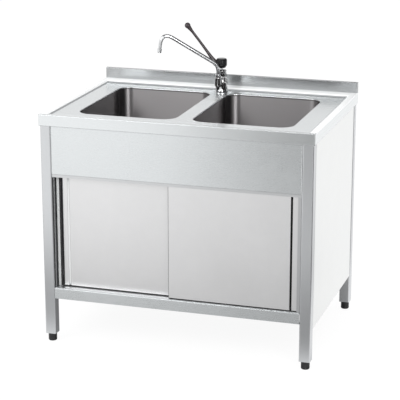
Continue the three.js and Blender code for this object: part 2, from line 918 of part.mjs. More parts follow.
// A long arm that ends in a round drop.
function lever() {
  const neck = Math.asin(leverArmRadius / leverTipRadius);
  const drop = [0.25, 0.45, 0.65, 0.85].map((share) => {
    const angle = THREE.MathUtils.lerp(neck, Math.PI, share);
    return [leverTipRadius * Math.sin(angle), leverLength - leverTipRadius * Math.cos(angle)];
  });
  return alongLever(turned([
    [0, -leverTenonLength],
    [leverTenonRadius, -leverTenonLength],
    [leverTenonRadius, 0],
    [leverRootRadius, 0],
    [leverRootRadius, leverRootLength],
    [leverArmRadius, leverTaper],
    [leverArmRadius, leverLength - leverTipTaper],
    ...drop,
    [0, leverLength + leverTipRadius],
  ], 16));
}

// ---------------------------------------------------------------- the whole unit

add('worktop', worktop(), brushedSteel);

Object.entries({ left: -1, right: 1 }).forEach(([name, side]) => {
  const drain = [side * bowlX, bowlY, bowlFloor];
  add(`bowl_${name}`, bowl(), bowlSteel, [side * bowlX, bowlY, 0]);
  add(`waste_flange_${name}`, wasteFlange(), chrome, drain);
  add(`waste_strainer_${name}`, wasteStrainer(), chrome, drain);
  add(`waste_tail_${name}`, wasteTail(), whitePlastic, drain);
  add(`branch_pipe_${name}`, branchPipe(side), whitePlastic);
  add(`side_panel_${name}`, sidePanel(side), brushedSteel);
  add(`jamb_${name}`, jamb(side), doorSteel);
  Object.entries({ front: -1, rear: 1 }).forEach(([end, depth]) => {
    const place = [side * legX, depth * legY, 0];
    const top = (depth < 0 ? deckUnder : rimUnder) - fit;
    add(`leg_${end}_${name}`, leg(top), legSteel, place);
    add(`leg_plug_${end}_${name}`, legPlug(), blackPlastic, place);
    add(`foot_${end}_${name}`, foot(), blackPlastic, place);
  });
});

add('drain_tee', drainTee(), whitePlastic, [0, bowlY, pipeZ]);
add('trap_bottle', trapBottle(), whitePlastic, [0, bowlY, 0]);
add('outlet_pipe', outletPipe(), whitePlastic, [0, 0, outletZ]);

add('front_panel', frontPanel(), brushedSteel);
add('front_rail', frontRail(), brushedSteel);
add('back_panel', backPanel(), galvanised);
add('shelf', shelf(), galvanised);
add('top_track', topTrack(), doorSteel);
add('bottom_guide', bottomGuide(), doorSteel);
addDoor('right_door', 1, 0, rightDoorEnd);
addDoor('left_door', -1, 1, leftDoorEnd);

add('tap_base', tapBase(), chrome, [0, tapY, 0]);
add('tap_lock_nut', lockNut(), chrome, [0, tapY, 0]);
add('tap_body', tapBody(), chrome, [0, tapY, 0], tapTurn);
add('spout', spout(), chrome, [spoutX, spoutY, 0], spoutTurn);
add('spout_nut', spoutNut(), chrome, [spoutX, spoutY, 0], spoutTurn);
add('aerator', aerator(), chrome, [spoutX, spoutY, 0], spoutTurn);
add('tap_cartridge', tapCartridge(), galvanised, [0, tapY, pivotZ], leverTurn);
add('tap_hub', tapHub(), blackPlastic, [0, tapY, pivotZ], leverTurn);
add('lever', lever(), darkLever, [0, tapY, pivotZ], leverTurn);

export default group;
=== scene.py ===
"""A free-standing steel sink unit with two bowls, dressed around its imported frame.

Sizes are in millimetres in the unit's own frame: +X to the right, +Y to the back, +Z up, with
the origin on the floor under the middle of the worktop. A mesh turns into metres when it is
finished. Each sub-assembly is a class that holds its sizes, builds its meshes and dresses them.
"""

import json
import logging
import math
from collections.abc import Iterable, Sequence
from dataclasses import dataclass, field
from enum import Enum
from functools import lru_cache

import bmesh
import bpy
from mathutils import Matrix, Vector


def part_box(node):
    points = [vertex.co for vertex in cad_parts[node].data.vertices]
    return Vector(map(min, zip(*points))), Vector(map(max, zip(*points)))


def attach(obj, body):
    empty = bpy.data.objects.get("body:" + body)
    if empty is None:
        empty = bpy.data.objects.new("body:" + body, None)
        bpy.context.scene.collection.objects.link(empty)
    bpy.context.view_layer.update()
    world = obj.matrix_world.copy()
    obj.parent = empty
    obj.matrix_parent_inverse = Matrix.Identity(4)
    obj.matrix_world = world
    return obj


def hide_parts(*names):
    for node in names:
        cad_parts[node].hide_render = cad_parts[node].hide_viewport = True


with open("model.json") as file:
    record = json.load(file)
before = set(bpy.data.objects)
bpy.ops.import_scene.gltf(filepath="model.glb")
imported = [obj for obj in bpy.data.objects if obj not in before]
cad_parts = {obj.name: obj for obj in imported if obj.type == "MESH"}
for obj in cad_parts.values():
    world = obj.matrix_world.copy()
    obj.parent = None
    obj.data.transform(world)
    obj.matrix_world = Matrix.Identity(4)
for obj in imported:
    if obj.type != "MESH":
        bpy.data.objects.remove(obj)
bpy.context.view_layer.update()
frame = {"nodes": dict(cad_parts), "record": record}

log = logging.getLogger("sink_unit")

MM = 0.001
TURN = 2 * math.pi
WELD = 0.0005
Colour = tuple[float, float, float]
Row = list[Vector]
Outline = Sequence[Sequence[float]]
Points = list[tuple[float, float]]

WHITE: Colour = (1.0, 1.0, 1.0)
BLACK: Colour = (0.0, 0.0, 0.0)


class Side(Enum):
    """The two halves of the unit, with the sign of X on that side."""

    LEFT = -1
    RIGHT = 1

    @property
    def label(self) -> str:
        """The word that the frame's nodes use for this side."""
        return self.name.lower()


class Axis(Enum):
    """A direction that a grain runs in."""

    X = 0
    Y = 1
    Z = 2


class Coords(Enum):
    """The outputs of a Texture Coordinate node that the materials and the world use."""

    GENERATED = 0
    NORMAL = 1
    OBJECT = 3


# ------------------------------------------------------------------------------ shader graphs


class Value:
    """A number on a socket. Arithmetic on it adds Math nodes to its graph."""

    def __init__(self, graph: "Graph", socket: bpy.types.NodeSocket) -> None:
        """Keeps the socket and the graph it belongs to."""
        self.graph = graph
        self.socket = socket

    def _with(self, operation: str, *terms: "Value | float") -> "Value":
        """Adds one Math node over the given terms."""
        inputs = dict(enumerate(terms))
        return self.graph.node("ShaderNodeMath", {"operation": operation}, inputs)[0]

    def __add__(self, other: "Value | float") -> "Value":
        """The sum."""
        return self._with("ADD", self, other)

    def __sub__(self, other: "Value | float") -> "Value":
        """The difference."""
        return self._with("SUBTRACT", self, other)

    def __rsub__(self, other: float) -> "Value":
        """A number less this value."""
        return self._with("SUBTRACT", other, self)

    def __mul__(self, other: "Value | float") -> "Value":
        """The product."""
        return self._with("MULTIPLY", self, other)

    __radd__ = __add__
    __rmul__ = __mul__

    def __abs__(self) -> "Value":
        """The size of the value without its sign."""
        return self._with("ABSOLUTE", self)

    def larger(self, other: "Value | float") -> "Value":
        """The larger of this value and another."""
        return self._with("MAXIMUM", self, other)

    def ramp(self, low: float, high: float) -> "Value":
        """A smooth step from 0 at `low` to 1 at `high`.

        Args:
            low: The value where it starts.
            high: The value where it ends.

        Returns:
            The step.
        """
        settings = {"interpolation_type": "SMOOTHSTEP"}
        inputs = {"Value": self, "From Min": low, "From Max": high}
        return self.graph.node("ShaderNodeMapRange", settings, inputs)[0]


class Graph:
    """The node tree of a material or a world, built up node by node."""

    def __init__(self, owner: bpy.types.Material | bpy.types.World) -> None:
        """Empties the owner's node tree and takes it over.

        Args:
            owner: The material or the world.
        """
        owner.use_nodes = True
        self.tree = owner.node_tree
        self.tree.nodes.clear()

    def node(self, kind: str, settings: dict | None = None, inputs: dict | None = None) -> list[Value]:
        """Adds a node.

        Args:
            kind: The node's type name.
            settings: Its own settings, set before its sockets.
            inputs: A number, colour, vector or link for each socket, by name or place.

        Returns:
            The node's outputs, in order.
        """
        made = self.tree.nodes.new(kind)
        for key, value in (settings or {}).items():
            setattr(made, key, value)
        for key, value in (inputs or {}).items():
            if isinstance(value, Value):
                self.tree.links.new(value.socket, made.inputs[key])
            elif isinstance(value, tuple) and made.inputs[key].type == "RGBA":
                made.inputs[key].default_value = (*value, 1.0)
            else:
                made.inputs[key].default_value = value
        return [Value(self, socket) for socket in made.outputs]

    def coords(self, kind: Coords) -> Value:
        """One of the texture coordinates."""
        return self.node("ShaderNodeTexCoord")[kind.value]

    def place(self) -> Value:
        """The point on the object, in metres, which moves with the piece."""
        return self.coords(Coords.OBJECT)

    def rays(self) -> tuple[Value, Value, Value]:
        """Whether a ray comes from the camera, from a reflection, or through something clear."""
        kinds = self.node("ShaderNodeLightPath")
        return kinds[0], kinds[3], kinds[6]

    def parts(self, vector: Value) -> list[Value]:
        """The three components of a vector."""
        return self.node("ShaderNodeSeparateXYZ", {}, {0: vector})

    def facing(self, axis: Axis) -> Value:
        """How far the surface faces along an axis, from 0 to 1."""
        return abs(self.parts(self.coords(Coords.NORMAL))[axis.value])

    def stretched(self, point: Value, scale: Sequence[float]) -> Value:
        """A point scaled by its own factor along each axis."""
        return self.node("ShaderNodeVectorMath", {"operation": "MULTIPLY"}, {0: point, 1: Vector(scale)})[0]

    def noise(self, point: Value, scale: float, detail: float = 2.0, roughness: float = 0.5) -> Value:
        """Soft noise around a half."""
        inputs = {"Vector": point, "Scale": scale, "Detail": detail, "Roughness": roughness}
        return self.node("ShaderNodeTexNoise", {}, inputs)[0]

    def blend(self, share: Value | float, first: Value | Colour, second: Value | Colour) -> Value:
        """A colour between two others."""
        inputs = {0: share, 6: first, 7: second}
        return self.node("ShaderNodeMix", {"data_type": "RGBA"}, inputs)[2]

    def between(self, share: Value, first: Value, second: Value) -> Value:
        """A number between two others."""
        return self.node("ShaderNodeMix", {"data_type": "FLOAT"}, {0: share, 2: first, 3: second})[0]

    def bump(self, height: Value, distance: float, strength: float = 1.0) -> Value:
        """A normal from a height, `distance` metres high at most."""
        inputs = {"Height": height, "Distance": distance, "Strength": strength}
        return self.node("ShaderNodeBump", {}, inputs)[0]

    def surface(self, inputs: dict) -> None:
        """Ends a material with one Principled shader."""
        shader = self.node("ShaderNodeBsdfPrincipled", {}, inputs)[0]
        self.node("ShaderNodeOutputMaterial", {}, {"Surface": shader})


def shade(colour: Colour, factor: float) -> Colour:
    """A colour made darker or lighter."""
    return tuple(min(channel * factor, 1.0) for channel in colour)


# ------------------------------------------------------------------------------ finishes


@dataclass(frozen=True)
class BrushedSteel:
    """Stainless sheet with a fine grain along one axis, hazy patches and a few scuffs.

    A sheet may have a `raised` part above a height and behind the front rim, painted near-white
    and matt as a painted highlight. A `drawn` sheet gets painted shade: it is darker on its side
    walls, at its corners and in a line along its upper edge.
    """

    slot: str
    colour: Colour
    roughness: float
    grain: Axis
    across: Axis
    grain_depth: float = 0.000005
    metal: float = 1.0
    haze: float = 0.02
    scuffs: float = 0.03
    sheen_stretch: float = 0.0
    stretch_turn: float = 0.25
    # The near-white colour of the raised part: a painted highlight.
    raised: Colour | None = None
    raised_z: float = 0.8462
    raised_y: float = -0.333
    # Whether the sheet gets painted shade on its walls, corners and upper edge.
    drawn: bool = False
    drawn_z: float = 0.8335

    def _grain(self, graph: Graph, point: Value, axis: Axis) -> Value:
        """Long streaks along an axis.

        Args:
            graph: The material's graph.
            point: The point on the object.
            axis: The way that the streaks run.

        Returns:
            The noise.
        """
        fine, long = 1300.0, 14.0
        scale = [fine] * 3
        scale[axis.value] = long
        return graph.noise(graph.stretched(point, scale), 1.0, 3.0, 0.6)

    def _raised_share(self, graph: Graph, point: Value) -> Value:
        """Whether each point lies in the raised part, where the highlight is painted, with a soft border.

        Args:
            graph: The material's graph.
            point: The point on the object.

        Returns:
            1 in the raised part and 0 outside it.
        """
        _, y, z = graph.parts(point)
        above = z.ramp(self.raised_z - 0.001, self.raised_z + 0.001)
        return above * y.ramp(self.raised_y - 0.005, self.raised_y + 0.005)

    def _drawn_marks(self, graph: Graph, point: Value) -> Value:
        """How much painted shade each point gets: on walls facing along X, in corners and under the lip.

        Args:
            graph: The material's graph.
            point: The point on the object.

        Returns:
            The share of black.
        """
        across = graph.facing(Axis.X)
        wall = across.ramp(0.60, 0.8) * 0.40
        corner = across.ramp(0.60, 0.76) * (1 - across.ramp(0.94, 0.995)) * 0.30
        edge = graph.parts(point)[2].ramp(self.drawn_z, self.drawn_z + 0.002) * 0.6
        return (wall + corner).larger(edge)

    def fill(self, graph: Graph) -> None:
        """Builds the finish's nodes.

        Args:
            graph: The material's graph.
        """
        point = graph.place()
        turned_face = graph.facing(self.grain).ramp(0.55, 0.75)
        grain = graph.between(
            turned_face, self._grain(graph, point, self.grain), self._grain(graph, point, self.across)
        )
        haze = graph.noise(point, 5.0, 4.0, 0.55)
        patches = graph.noise(point, 28.0, 3.0, 0.6).ramp(0.42, 0.66)
        scratch = graph.stretched(point, (60.0, 420.0, 260.0))
        scuffs = graph.noise(scratch, 1.0, 5.0, 0.7).ramp(0.64, 0.72)
        tone = (grain - 0.5) * 0.22 + haze * 0.7 + patches * 0.10
        colour = graph.blend(tone, shade(self.colour, 0.95), shade(self.colour, 1.04))
        metal: Value | float = self.metal
        # Painted highlight: the raised part turns near-white and matt.
        if self.raised:
            raised = self._raised_share(graph, point)
            matt = graph.blend(tone, shade(self.raised, 0.96), self.raised)
            colour = graph.blend(raised, colour, matt)
            metal = self.metal - raised
        # Painted shade on the walls, in the corners and in a line under the lip.
        if self.drawn:
            colour = graph.blend(self._drawn_marks(graph, point), colour, BLACK)
        graph.surface(
            {
                "Base Color": colour,
                "Metallic": metal,
                "Roughness": (
                    (haze - 0.5) * (2 * self.haze)
                    + (grain - 0.5) * 0.10
                    + scuffs * self.scuffs
                    + patches * (0.3 * self.haze)
                    + self.roughness
                ),
                "Anisotropic": self.sheen_stretch,
                "Anisotropic Rotation": self.stretch_turn,
                "Normal": graph.bump(grain, self.grain_depth),
            }
        )


@dataclass(frozen=True)
class Galvanised:
    """Zinc-coated sheet with its crystal pattern."""

    slot: str
    colour: Colour = (0.42, 0.43, 0.44)
    roughness: float = 0.42

    def fill(self, graph: Graph) -> None:
        """Builds the finish's nodes.

        Args:
            graph: The material's graph.
        """
        point = graph.place()
        wobble = graph.noise(point, 60.0, 3.0)
        crystals = graph.node("ShaderNodeTexVoronoi", {"feature": "F1"}, {"Vector": point, "Scale": 85.0})
        flake = graph.node("ShaderNodeSeparateColor", {}, {0: crystals[1]})[0]
        cloud = graph.noise(point, 7.0, 4.0)
        tone = flake * 0.55 + wobble * 0.3 + cloud * 0.3 - 0.1
        graph.surface(
            {
                "Base Color": graph.blend(tone, shade(self.colour, 0.8), shade(self.colour, 1.15)),
                "Metallic": 0.85,
                "Roughness": flake * 0.12 + cloud * 0.12 + (self.roughness - 0.1),
                "Normal": graph.bump(wobble + flake * 0.3, 0.00002),
            }
        )


@dataclass(frozen=True)
class Chrome:
    """Bright plated brass with faint water marks and wipe marks, and black patches of painted reflection.
    """

    slot: str
    colour: Colour = (0.78, 0.79, 0.80)
    roughness: float = 0.04
    ripple: float = 55.0
    ripple_depth: float = 0.00006
    # How much of the surface gets black patches of painted reflection.
    mottle: float = 0.0

    def fill(self, graph: Graph) -> None:
        """Builds the finish's nodes.

        Args:
            graph: The material's graph.
        """
        point = graph.place()
        wipes = graph.noise(graph.stretched(point, (90.0, 90.0, 25.0)), 1.0, 4.0, 0.65).ramp(0.5, 0.75)
        spots = graph.noise(point, 420.0, 2.0).ramp(0.66, 0.72)
        ripple = graph.noise(point, self.ripple, 1.0)
        # Near-black patches painted on as chrome's dark reflections.
        finer, dark = 2.2, (0.02, 0.02, 0.02)
        mottle = graph.noise(point, finer * self.ripple, 2.0).ramp(0.47, 0.53) * self.mottle
        plain = graph.blend(spots * 0.6, self.colour, shade(self.colour, 0.85))
        graph.surface(
            {
                "Base Color": graph.blend(mottle, plain, dark),
                "Metallic": 1.0,
                "Roughness": wipes * 0.07 + spots * 0.12 + self.roughness,
                "Normal": graph.bump(ripple, self.ripple_depth),
            }
        )


@dataclass(frozen=True)
class Moulded:
    """Moulded plastic or dull trim, with a fine grain or a smooth sheen, and patches of dust."""

    slot: str
    colour: Colour
    roughness: float
    pore: float
    pore_depth: float
    wear: float = 0.25
    metal: float = 0.0

    def fill(self, graph: Graph) -> None:
        """Builds the finish's nodes.

        Args:
            graph: The material's graph.
        """
        point = graph.place()
        pores = graph.noise(point, self.pore, 2.0)
        dust = graph.noise(point, 32.0, 5.0, 0.65).ramp(0.48, 0.74)
        flow = graph.noise(point, 22.0, 3.0)
        worn = tuple(channel + (0.5 - channel) * 0.25 * self.wear for channel in self.colour)
        base = graph.blend(flow, shade(self.colour, 0.9), shade(self.colour, 1.08))
        graph.surface(
            {
                "Base Color": graph.blend(dust * self.wear, base, worn),
                "Metallic": self.metal,
                "Roughness": (pores - 0.5) * 0.1 + dust * (0.3 * self.wear) + self.roughness,
                "Normal": graph.bump(pores, self.pore_depth),
            }
        )


Finish = BrushedSteel | Galvanised | Chrome | Moulded

# The worktop's steel, with a painted highlight on its raised ledge and rim.
WORKTOP_STEEL = BrushedSteel(
    "worktop_steel", (0.82, 0.845, 0.855), 0.24, Axis.X, Axis.Y, raised=(0.96, 0.97, 0.975)
)
# Painted shade: the worktop's steel at about half its brightness, for the upstand.
SHADED_UPSTAND_STEEL = BrushedSteel(
    "worktop_steel", (0.44, 0.452, 0.458), 0.25, Axis.X, Axis.Y, sheen_stretch=0.55
)
# The bowls' steel, with painted shade on the walls, corners and under the lip.
BOWL_STEEL = BrushedSteel(
    "bowl_steel", (0.42, 0.405, 0.41), 0.42, Axis.X, Axis.Y, sheen_stretch=0.95, drawn=True
)
LEG_STEEL = BrushedSteel(
    "leg_steel", (0.70, 0.715, 0.73), 0.30, Axis.Z, Axis.X, sheen_stretch=0.5, stretch_turn=0.0
)
PANEL_STEEL = BrushedSteel("panel_steel", (0.75, 0.775, 0.785), 0.28, Axis.X, Axis.Y, sheen_stretch=0.7)
# Painted light: brighter than the front's panel steel so the sides look lit; the back shares it.
LIT_SIDE_STEEL = BrushedSteel("panel_steel", (0.90, 0.91, 0.905), 0.33, Axis.Y, Axis.X, sheen_stretch=0.4)
DOOR_STEEL = BrushedSteel("door_steel", (0.875, 0.875, 0.88), 0.40, Axis.Z, Axis.X)
TRACK_STEEL = BrushedSteel("track_steel", (0.66, 0.67, 0.68), 0.34, Axis.X, Axis.Z)
INNER_STEEL = Galvanised("inner_steel")
CHROME = Chrome("chrome")
# The casting's chrome, with black patches of painted reflection.
CAST_CHROME = Chrome("chrome", (0.95, 0.95, 0.95), 0.05, 150.0, 0.0003, mottle=1.0)
PIPE_PLASTIC = Moulded("pipe_plastic", (0.80, 0.80, 0.77), 0.38, 900.0, 0.00001)
ROLLER_NYLON = Moulded("roller_nylon", (0.68, 0.66, 0.60), 0.42, 700.0, 0.00001)
FOOT_PLASTIC = Moulded("foot_plastic", (0.008, 0.008, 0.009), 0.42, 1400.0, 0.00004, wear=0.3)
# Black for strips of painted shade: in gaps at the jamb, under and beside the doors, in a deep slot.
SHADE_BLACK = Moulded("foot_plastic", (0.012, 0.012, 0.013), 0.6, 1400.0, 0.00002, wear=0.1)
SLOT_STEEL = Moulded("door_steel", (0.70, 0.71, 0.71), 0.5, 1400.0, 0.00001, wear=0.1, metal=0.3)
# Dull grey for the sheet edge in the gap beside a leg, darker than the panel as painted shade.
SEAM_SHADE_STEEL = Moulded("panel_steel", (0.60, 0.615, 0.62), 0.5, 1400.0, 0.00001, wear=0.1, metal=0.3)
HUB_PLASTIC = Moulded("hub_plastic", (0.006, 0.006, 0.007), 0.16, 500.0, 0.000004, wear=0.12)
LEVER_COATING = Moulded("lever_coating", (0.050, 0.040, 0.043), 0.24, 800.0, 0.000006, wear=0.1)


@lru_cache(maxsize=None)
def material_of(finish: Finish) -> bpy.types.Material:
    """The one material that all pieces with a finish share.

    Args:
        finish: The finish.

    Returns:
        Its material.
    """
    name = f"{finish.slot}_{len(bpy.data.materials)}"
    material = bpy.data.materials.new(name)
    finish.fill(Graph(material))
    return material


# ------------------------------------------------------------------------------ mesh making


def filleted(corners: Outline, steps: int = 5, closed: bool = False) -> Points:
    """Rounds the corners of a line.

    Args:
        corners: Two coordinates for each corner, and its radius where it is rounded.
        steps: The number of chords in each rounding.
        closed: Whether the last corner joins the first.

    Returns:
        The points of the rounded line.
    """
    straight = 0.248 * TURN
    line: Points = []
    count = len(corners)
    for index, corner in enumerate(corners):
        here = Vector(corner[:2])
        radius = corner[2] if len(corner) > 2 else 0.0
        if radius <= 0 or (not closed and index in (0, count - 1)):
            line.append(tuple(here))
            continue
        before = Vector(corners[index - 1][:2]) - here
        after = Vector(corners[(index + 1) % count][:2]) - here
        half = before.angle(after) / 2
        if half > straight:
            line.append(tuple(here))
            continue
        cut = min(radius / math.tan(half), 0.5 * before.length, 0.5 * after.length)
        middle = (before.normalized() + after.normalized()).normalized()
        centre = here + middle * (cut / math.cos(half))
        start = here + before.normalized() * cut - centre
        sweep = start.angle_signed(here + after.normalized() * cut - centre)
        for step in range(steps + 1):
            arm = start.copy()
            arm.rotate(Matrix.Rotation(-sweep * step / steps, 2))
            line.append(tuple(centre + arm))
    return line


def rounded_rect(half_x: float, half_y: float, radius: float, steps: int = 8, straight: int = 1) -> Points:
    """A rectangle's outline with round corners, anticlockwise.

    Args:
        half_x: Half of its width.
        half_y: Half of its depth.
        radius: The radius of its corners.
        steps: The number of chords in each corner.
        straight: The number of chords along each side.

    Returns:
        The points of the outline.
    """
    loop: Points = []
    quarters = ((1, -1, -0.25), (1, 1, 0.0), (-1, 1, 0.25), (-1, -1, 0.5))
    for sign_x, sign_y, first in quarters:
        for step in range(steps + 1):
            angle = TURN * (first + 0.25 * step / steps)
            x = sign_x * (half_x - radius) + radius * math.cos(angle)
            y = sign_y * (half_y - radius) + radius * math.sin(angle)
            loop.append((x, y))
    if straight == 1:
        return loop
    dense: Points = []
    for index, point in enumerate(loop):
        dense.append(point)
        if index % (steps + 1) == steps:
            following = loop[(index + 1) % len(loop)]
            for step in range(1, straight):
                share = step / straight
                dense.append(tuple(a + (b - a) * share for a, b in zip(point, following)))
    return dense


def ring(radius: float, count: int) -> Points:
    """A circle's points, anticlockwise."""
    turns = [TURN * index / count for index in range(count)]
    return [(radius * math.cos(turn), radius * math.sin(turn)) for turn in turns]


def quarter(steps: int) -> list[float]:
    """The angles of a quarter turn in equal steps, from 0."""
    return [0.25 * TURN * step / steps for step in range(steps + 1)]


def oblong(left: float, right: float, front: float, back: float) -> Points:
    """A plain rectangle in plan, anticlockwise."""
    return [(left, front), (right, front), (right, back), (left, back)]


def level(loop: Iterable[Sequence[float]], z: float, x: float = 0.0, y: float = 0.0) -> Row:
    """A plan loop moved to a place and laid at a height."""
    return [Vector((point[0] + x, point[1] + y, z)) for point in loop]


def upright(x: float = 0.0, y: float = 0.0, z: float = 0.0, turn: float = 0.0) -> Matrix:
    """Moves a shape drawn about +Z to a place and turns it, in degrees."""
    return Matrix.Translation((x, y, z)) @ Matrix.Rotation(math.radians(turn), 4, "Z")


class Form:
    """A mesh in the making, drawn in millimetres."""

    def __init__(self) -> None:
        """Starts an empty mesh."""
        self.mesh = bmesh.new()

    def loft(
        self, rows: Sequence[Row], closed: bool = True, caps: tuple[bool, bool] = (False, False)
    ) -> "Form":
        """Joins rows of equally many points by faces.

        Args:
            rows: The rows, from the first to the last.
            closed: Whether each row is a loop.
            caps: Whether the first and the last row are filled.

        Returns:
            This form.
        """
        made = [[self.mesh.verts.new(point) for point in row] for row in rows]
        count = len(made[0])
        for low, high in zip(made, made[1:]):
            for index in range(count if closed else count - 1):
                after = (index + 1) % count
                self.mesh.faces.new((low[index], low[after], high[after], high[index]))
        if caps[0]:
            self.mesh.faces.new(made[0][::-1])
        if caps[1]:
            self.mesh.faces.new(made[-1])
        return self

    def lathe(self, profile: Outline, place: Matrix, count: int = 48, steps: int = 4) -> "Form":
        """Turns a profile about +Z.

        Args:
            profile: Radius, height and, where it is rounded, a fillet for each corner.
            place: Where the turned shape goes.
            count: The number of sides.
            steps: The number of chords in each fillet.

        Returns:
            This form.
        """
        line = filleted(profile, steps)
        rows = [[place @ Vector((x, y, z)) for x, y in ring(max(radius, 0.0), count)] for radius, z in line]
        return self.loft(rows)

    def tube(self, path: Sequence[Vector], radii: Sequence[float], count: int = 28) -> "Form":
        """Sweeps a circle of changing radius along a path and closes both ends.

        Args:
            path: The points of the middle line.
            radii: The radius at each point.
            count: The number of sides.

        Returns:
            This form.
        """
        rows: list[Row] = []
        side = None
        for index, point in enumerate(path):
            before, after = path[max(index - 1, 0)], path[min(index + 1, len(path) - 1)]
            along = (after - before).normalized()
            if side is None:
                side = along.orthogonal().normalized()
            side = (side - along * side.dot(along)).normalized()
            other = along.cross(side)
            rows.append([point + side * x + other * y for x, y in ring(radii[index], count)])
        return self.loft(rows, caps=(True, True))

    def prism(self, outline: Outline, low: float, high: float, place: Matrix | None = None) -> "Form":
        """Raises an outline between two heights and closes both ends.

        Args:
            outline: The outline in plan.
            low: Its lower height.
            high: Its upper height.
            place: Where it goes, if it is moved.

        Returns:
            This form.
        """
        where = place or Matrix.Identity(4)
        rows = [[where @ point for point in level(outline, z)] for z in (low, high)]
        return self.loft(rows, caps=(True, True))

    def fill(self, loops: Sequence[Row]) -> "Form":
        """Fills between an outer loop and the loops inside it, all at one height.

        Args:
            loops: The outer loop and the loops inside it.

        Returns:
            This form.
        """
        edges = []
        for loop in loops:
            made = [self.mesh.verts.new(point) for point in loop]
            edges += [self.mesh.edges.new((a, b)) for a, b in zip(made, made[1:] + made[:1])]
        bmesh.ops.triangle_fill(self.mesh, use_beauty=True, edges=edges, normal=(0, 0, 1))
        return self

    def pierced_plate(self, loops: Sequence[Outline], low: float, high: float) -> "Form":
        """A flat plate with holes, between two heights.

        Args:
            loops: The plate's outline, anticlockwise, and its holes, clockwise.
            low: Its lower height.
            high: Its upper height.

        Returns:
            This form.
        """
        for z in (low, high):
            self.fill([level(loop, z) for loop in loops])
        for index, loop in enumerate(loops):
            rows = [level(loop, low), level(loop, high)]
            self.loft(rows if index == 0 else rows[::-1])
        return self

    def weld(self) -> "Form":
        """Welds what touches and leaves the faces as they were drawn."""
        bmesh.ops.remove_doubles(self.mesh, verts=self.mesh.verts, dist=WELD)
        return self

    def close(self) -> "Form":
        """Welds what touches and turns the faces outwards."""
        bmesh.ops.recalc_face_normals(self.weld().mesh, faces=self.mesh.faces)
        return self

    def soften(self, fold: float, edge: float) -> "Form":
        """Rounds the folds and breaks the sheet's edges.

        Args:
            fold: The radius along an edge between two wide faces.
            edge: The radius along the rim of a sheet.

        Returns:
            This form.
        """
        narrow, flat = 1.2, math.radians(12)
        folds, rims = [], []
        for line in self.mesh.edges:
            if len(line.link_faces) != 2 or line.calc_face_angle(0.0) < flat:
                continue
            widths = [face.calc_area() / max(face.calc_perimeter(), WELD) for face in line.link_faces]
            (folds if min(widths) > narrow and line.is_convex else rims).append(line)
        for group, size, segments in ((folds, fold, 4), (rims, edge, 2)):
            alive = [line for line in group if line.is_valid]
            if alive and size:
                bmesh.ops.bevel(
                    self.mesh,
                    geom=alive,
                    offset=size,
                    segments=segments,
                    profile=0.5,
                    affect="EDGES",
                    clamp_overlap=True,
                    loop_slide=True,
                )
        return self

    def object(self, name: str, finish: Finish, sharp: float = 40.0) -> bpy.types.Object:
        """Turns the form into an object in metres, smooth but for edges sharper than an angle.

        Args:
            name: The object's name.
            finish: Its finish.
            sharp: The angle in degrees above which an edge stays sharp.

        Returns:
            The object.
        """
        bmesh.ops.scale(self.mesh, vec=(MM, MM, MM), verts=self.mesh.verts)
        data = bpy.data.meshes.new(name)
        self.mesh.to_mesh(data)
        self.mesh.free()
        data.shade_smooth()
        data.set_sharp_from_angle(angle=math.radians(sharp))
        data.materials.append(material_of(finish))
        made = bpy.data.objects.new(name, data)
        bpy.context.scene.collection.objects.link(made)
        return made


def body_of(node: str) -> str:
    """The body that a frame node rides on."""
    bodies = frame["record"]["behaviour"]["bodies"]
    return next(body for body, members in bodies.items() if node in members)


def corners_of(node: str) -> tuple[Vector, Vector]:
    """The low and the high corner of a frame node's box, in millimetres."""
    low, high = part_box(node)
    return low / MM, high / MM


def cad_form(node: str) -> Form:
    """A frame node's own solid as a form, with its flat faces made whole.

    Args:
        node: The frame node.

    Returns:
        The form.
    """
    form = Form()
    form.mesh.from_mesh(frame["nodes"][node].data)
    bmesh.ops.scale(form.mesh, vec=(1 / MM,) * 3, verts=form.mesh.verts)
    bmesh.ops.remove_doubles(form.mesh, verts=form.mesh.verts, dist=0.004)
    bmesh.ops.dissolve_limit(
        form.mesh, angle_limit=math.radians(0.4), verts=form.mesh.verts, edges=form.mesh.edges
    )
    return form


def thicken(piece: bpy.types.Object, thickness: float) -> bpy.types.Object:
    """Gives a skin its sheet thickness, behind its faces.

    Args:
        piece: The skin.
        thickness: The thickness of the sheet.

    Returns:
        The same piece.
    """
    solidify = piece.modifiers.new("sheet", "SOLIDIFY")
    solidify.thickness = thickness * MM
    solidify.offset = -1
    solidify.use_even_offset = True
    return piece


def settle(piece: bpy.types.Object, finish: Finish, *nodes: str) -> None:
    """Lets a piece stand for its nodes and ride on their body, and reports it.

    Args:
        piece: The new piece.
        finish: Its finish; not used.
        *nodes: The frame nodes that it replaces.
    """
    weighted = piece.modifiers.new("even shading", "WEIGHTED_NORMAL")
    weighted.keep_sharp = True
    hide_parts(*nodes)
    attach(piece, body_of(nodes[0]))
    log.info("%s stands for %s", piece.name, ", ".join(nodes))


def dress(form: Form, name: str, finish: Finish, *nodes: str) -> None:
    """Turns a form into a piece that stands for its nodes."""
    settle(form.object(name, finish), finish, *nodes)


def strip(name: str, outline: Outline, height: Sequence[float], finish: Finish, host: str) -> None:
    """Adds a strip of trim, or a black strip of painted shade, that stands for no node, and reports it.

    Args:
        name: The strip's name.
        outline: Its section in plan.
        height: Its lower and its upper end.
        finish: Its finish.
        host: The frame node that it is fixed to.
    """
    piece = Form().prism(outline, *height).close().object(name, finish)
    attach(piece, body_of(host))
    log.info("%s is fixed to %s", name, host)


def folded(node: str, finish: Finish, fold: float = 1.5, edge: float = 0.25) -> None:
    """Adds a folded sheet piece: the frame's solid with rounded folds and broken edges."""
    dress(cad_form(node).soften(fold, edge), f"{node}_sheet", finish, node)


# ------------------------------------------------------------------------------ worktop and bowls


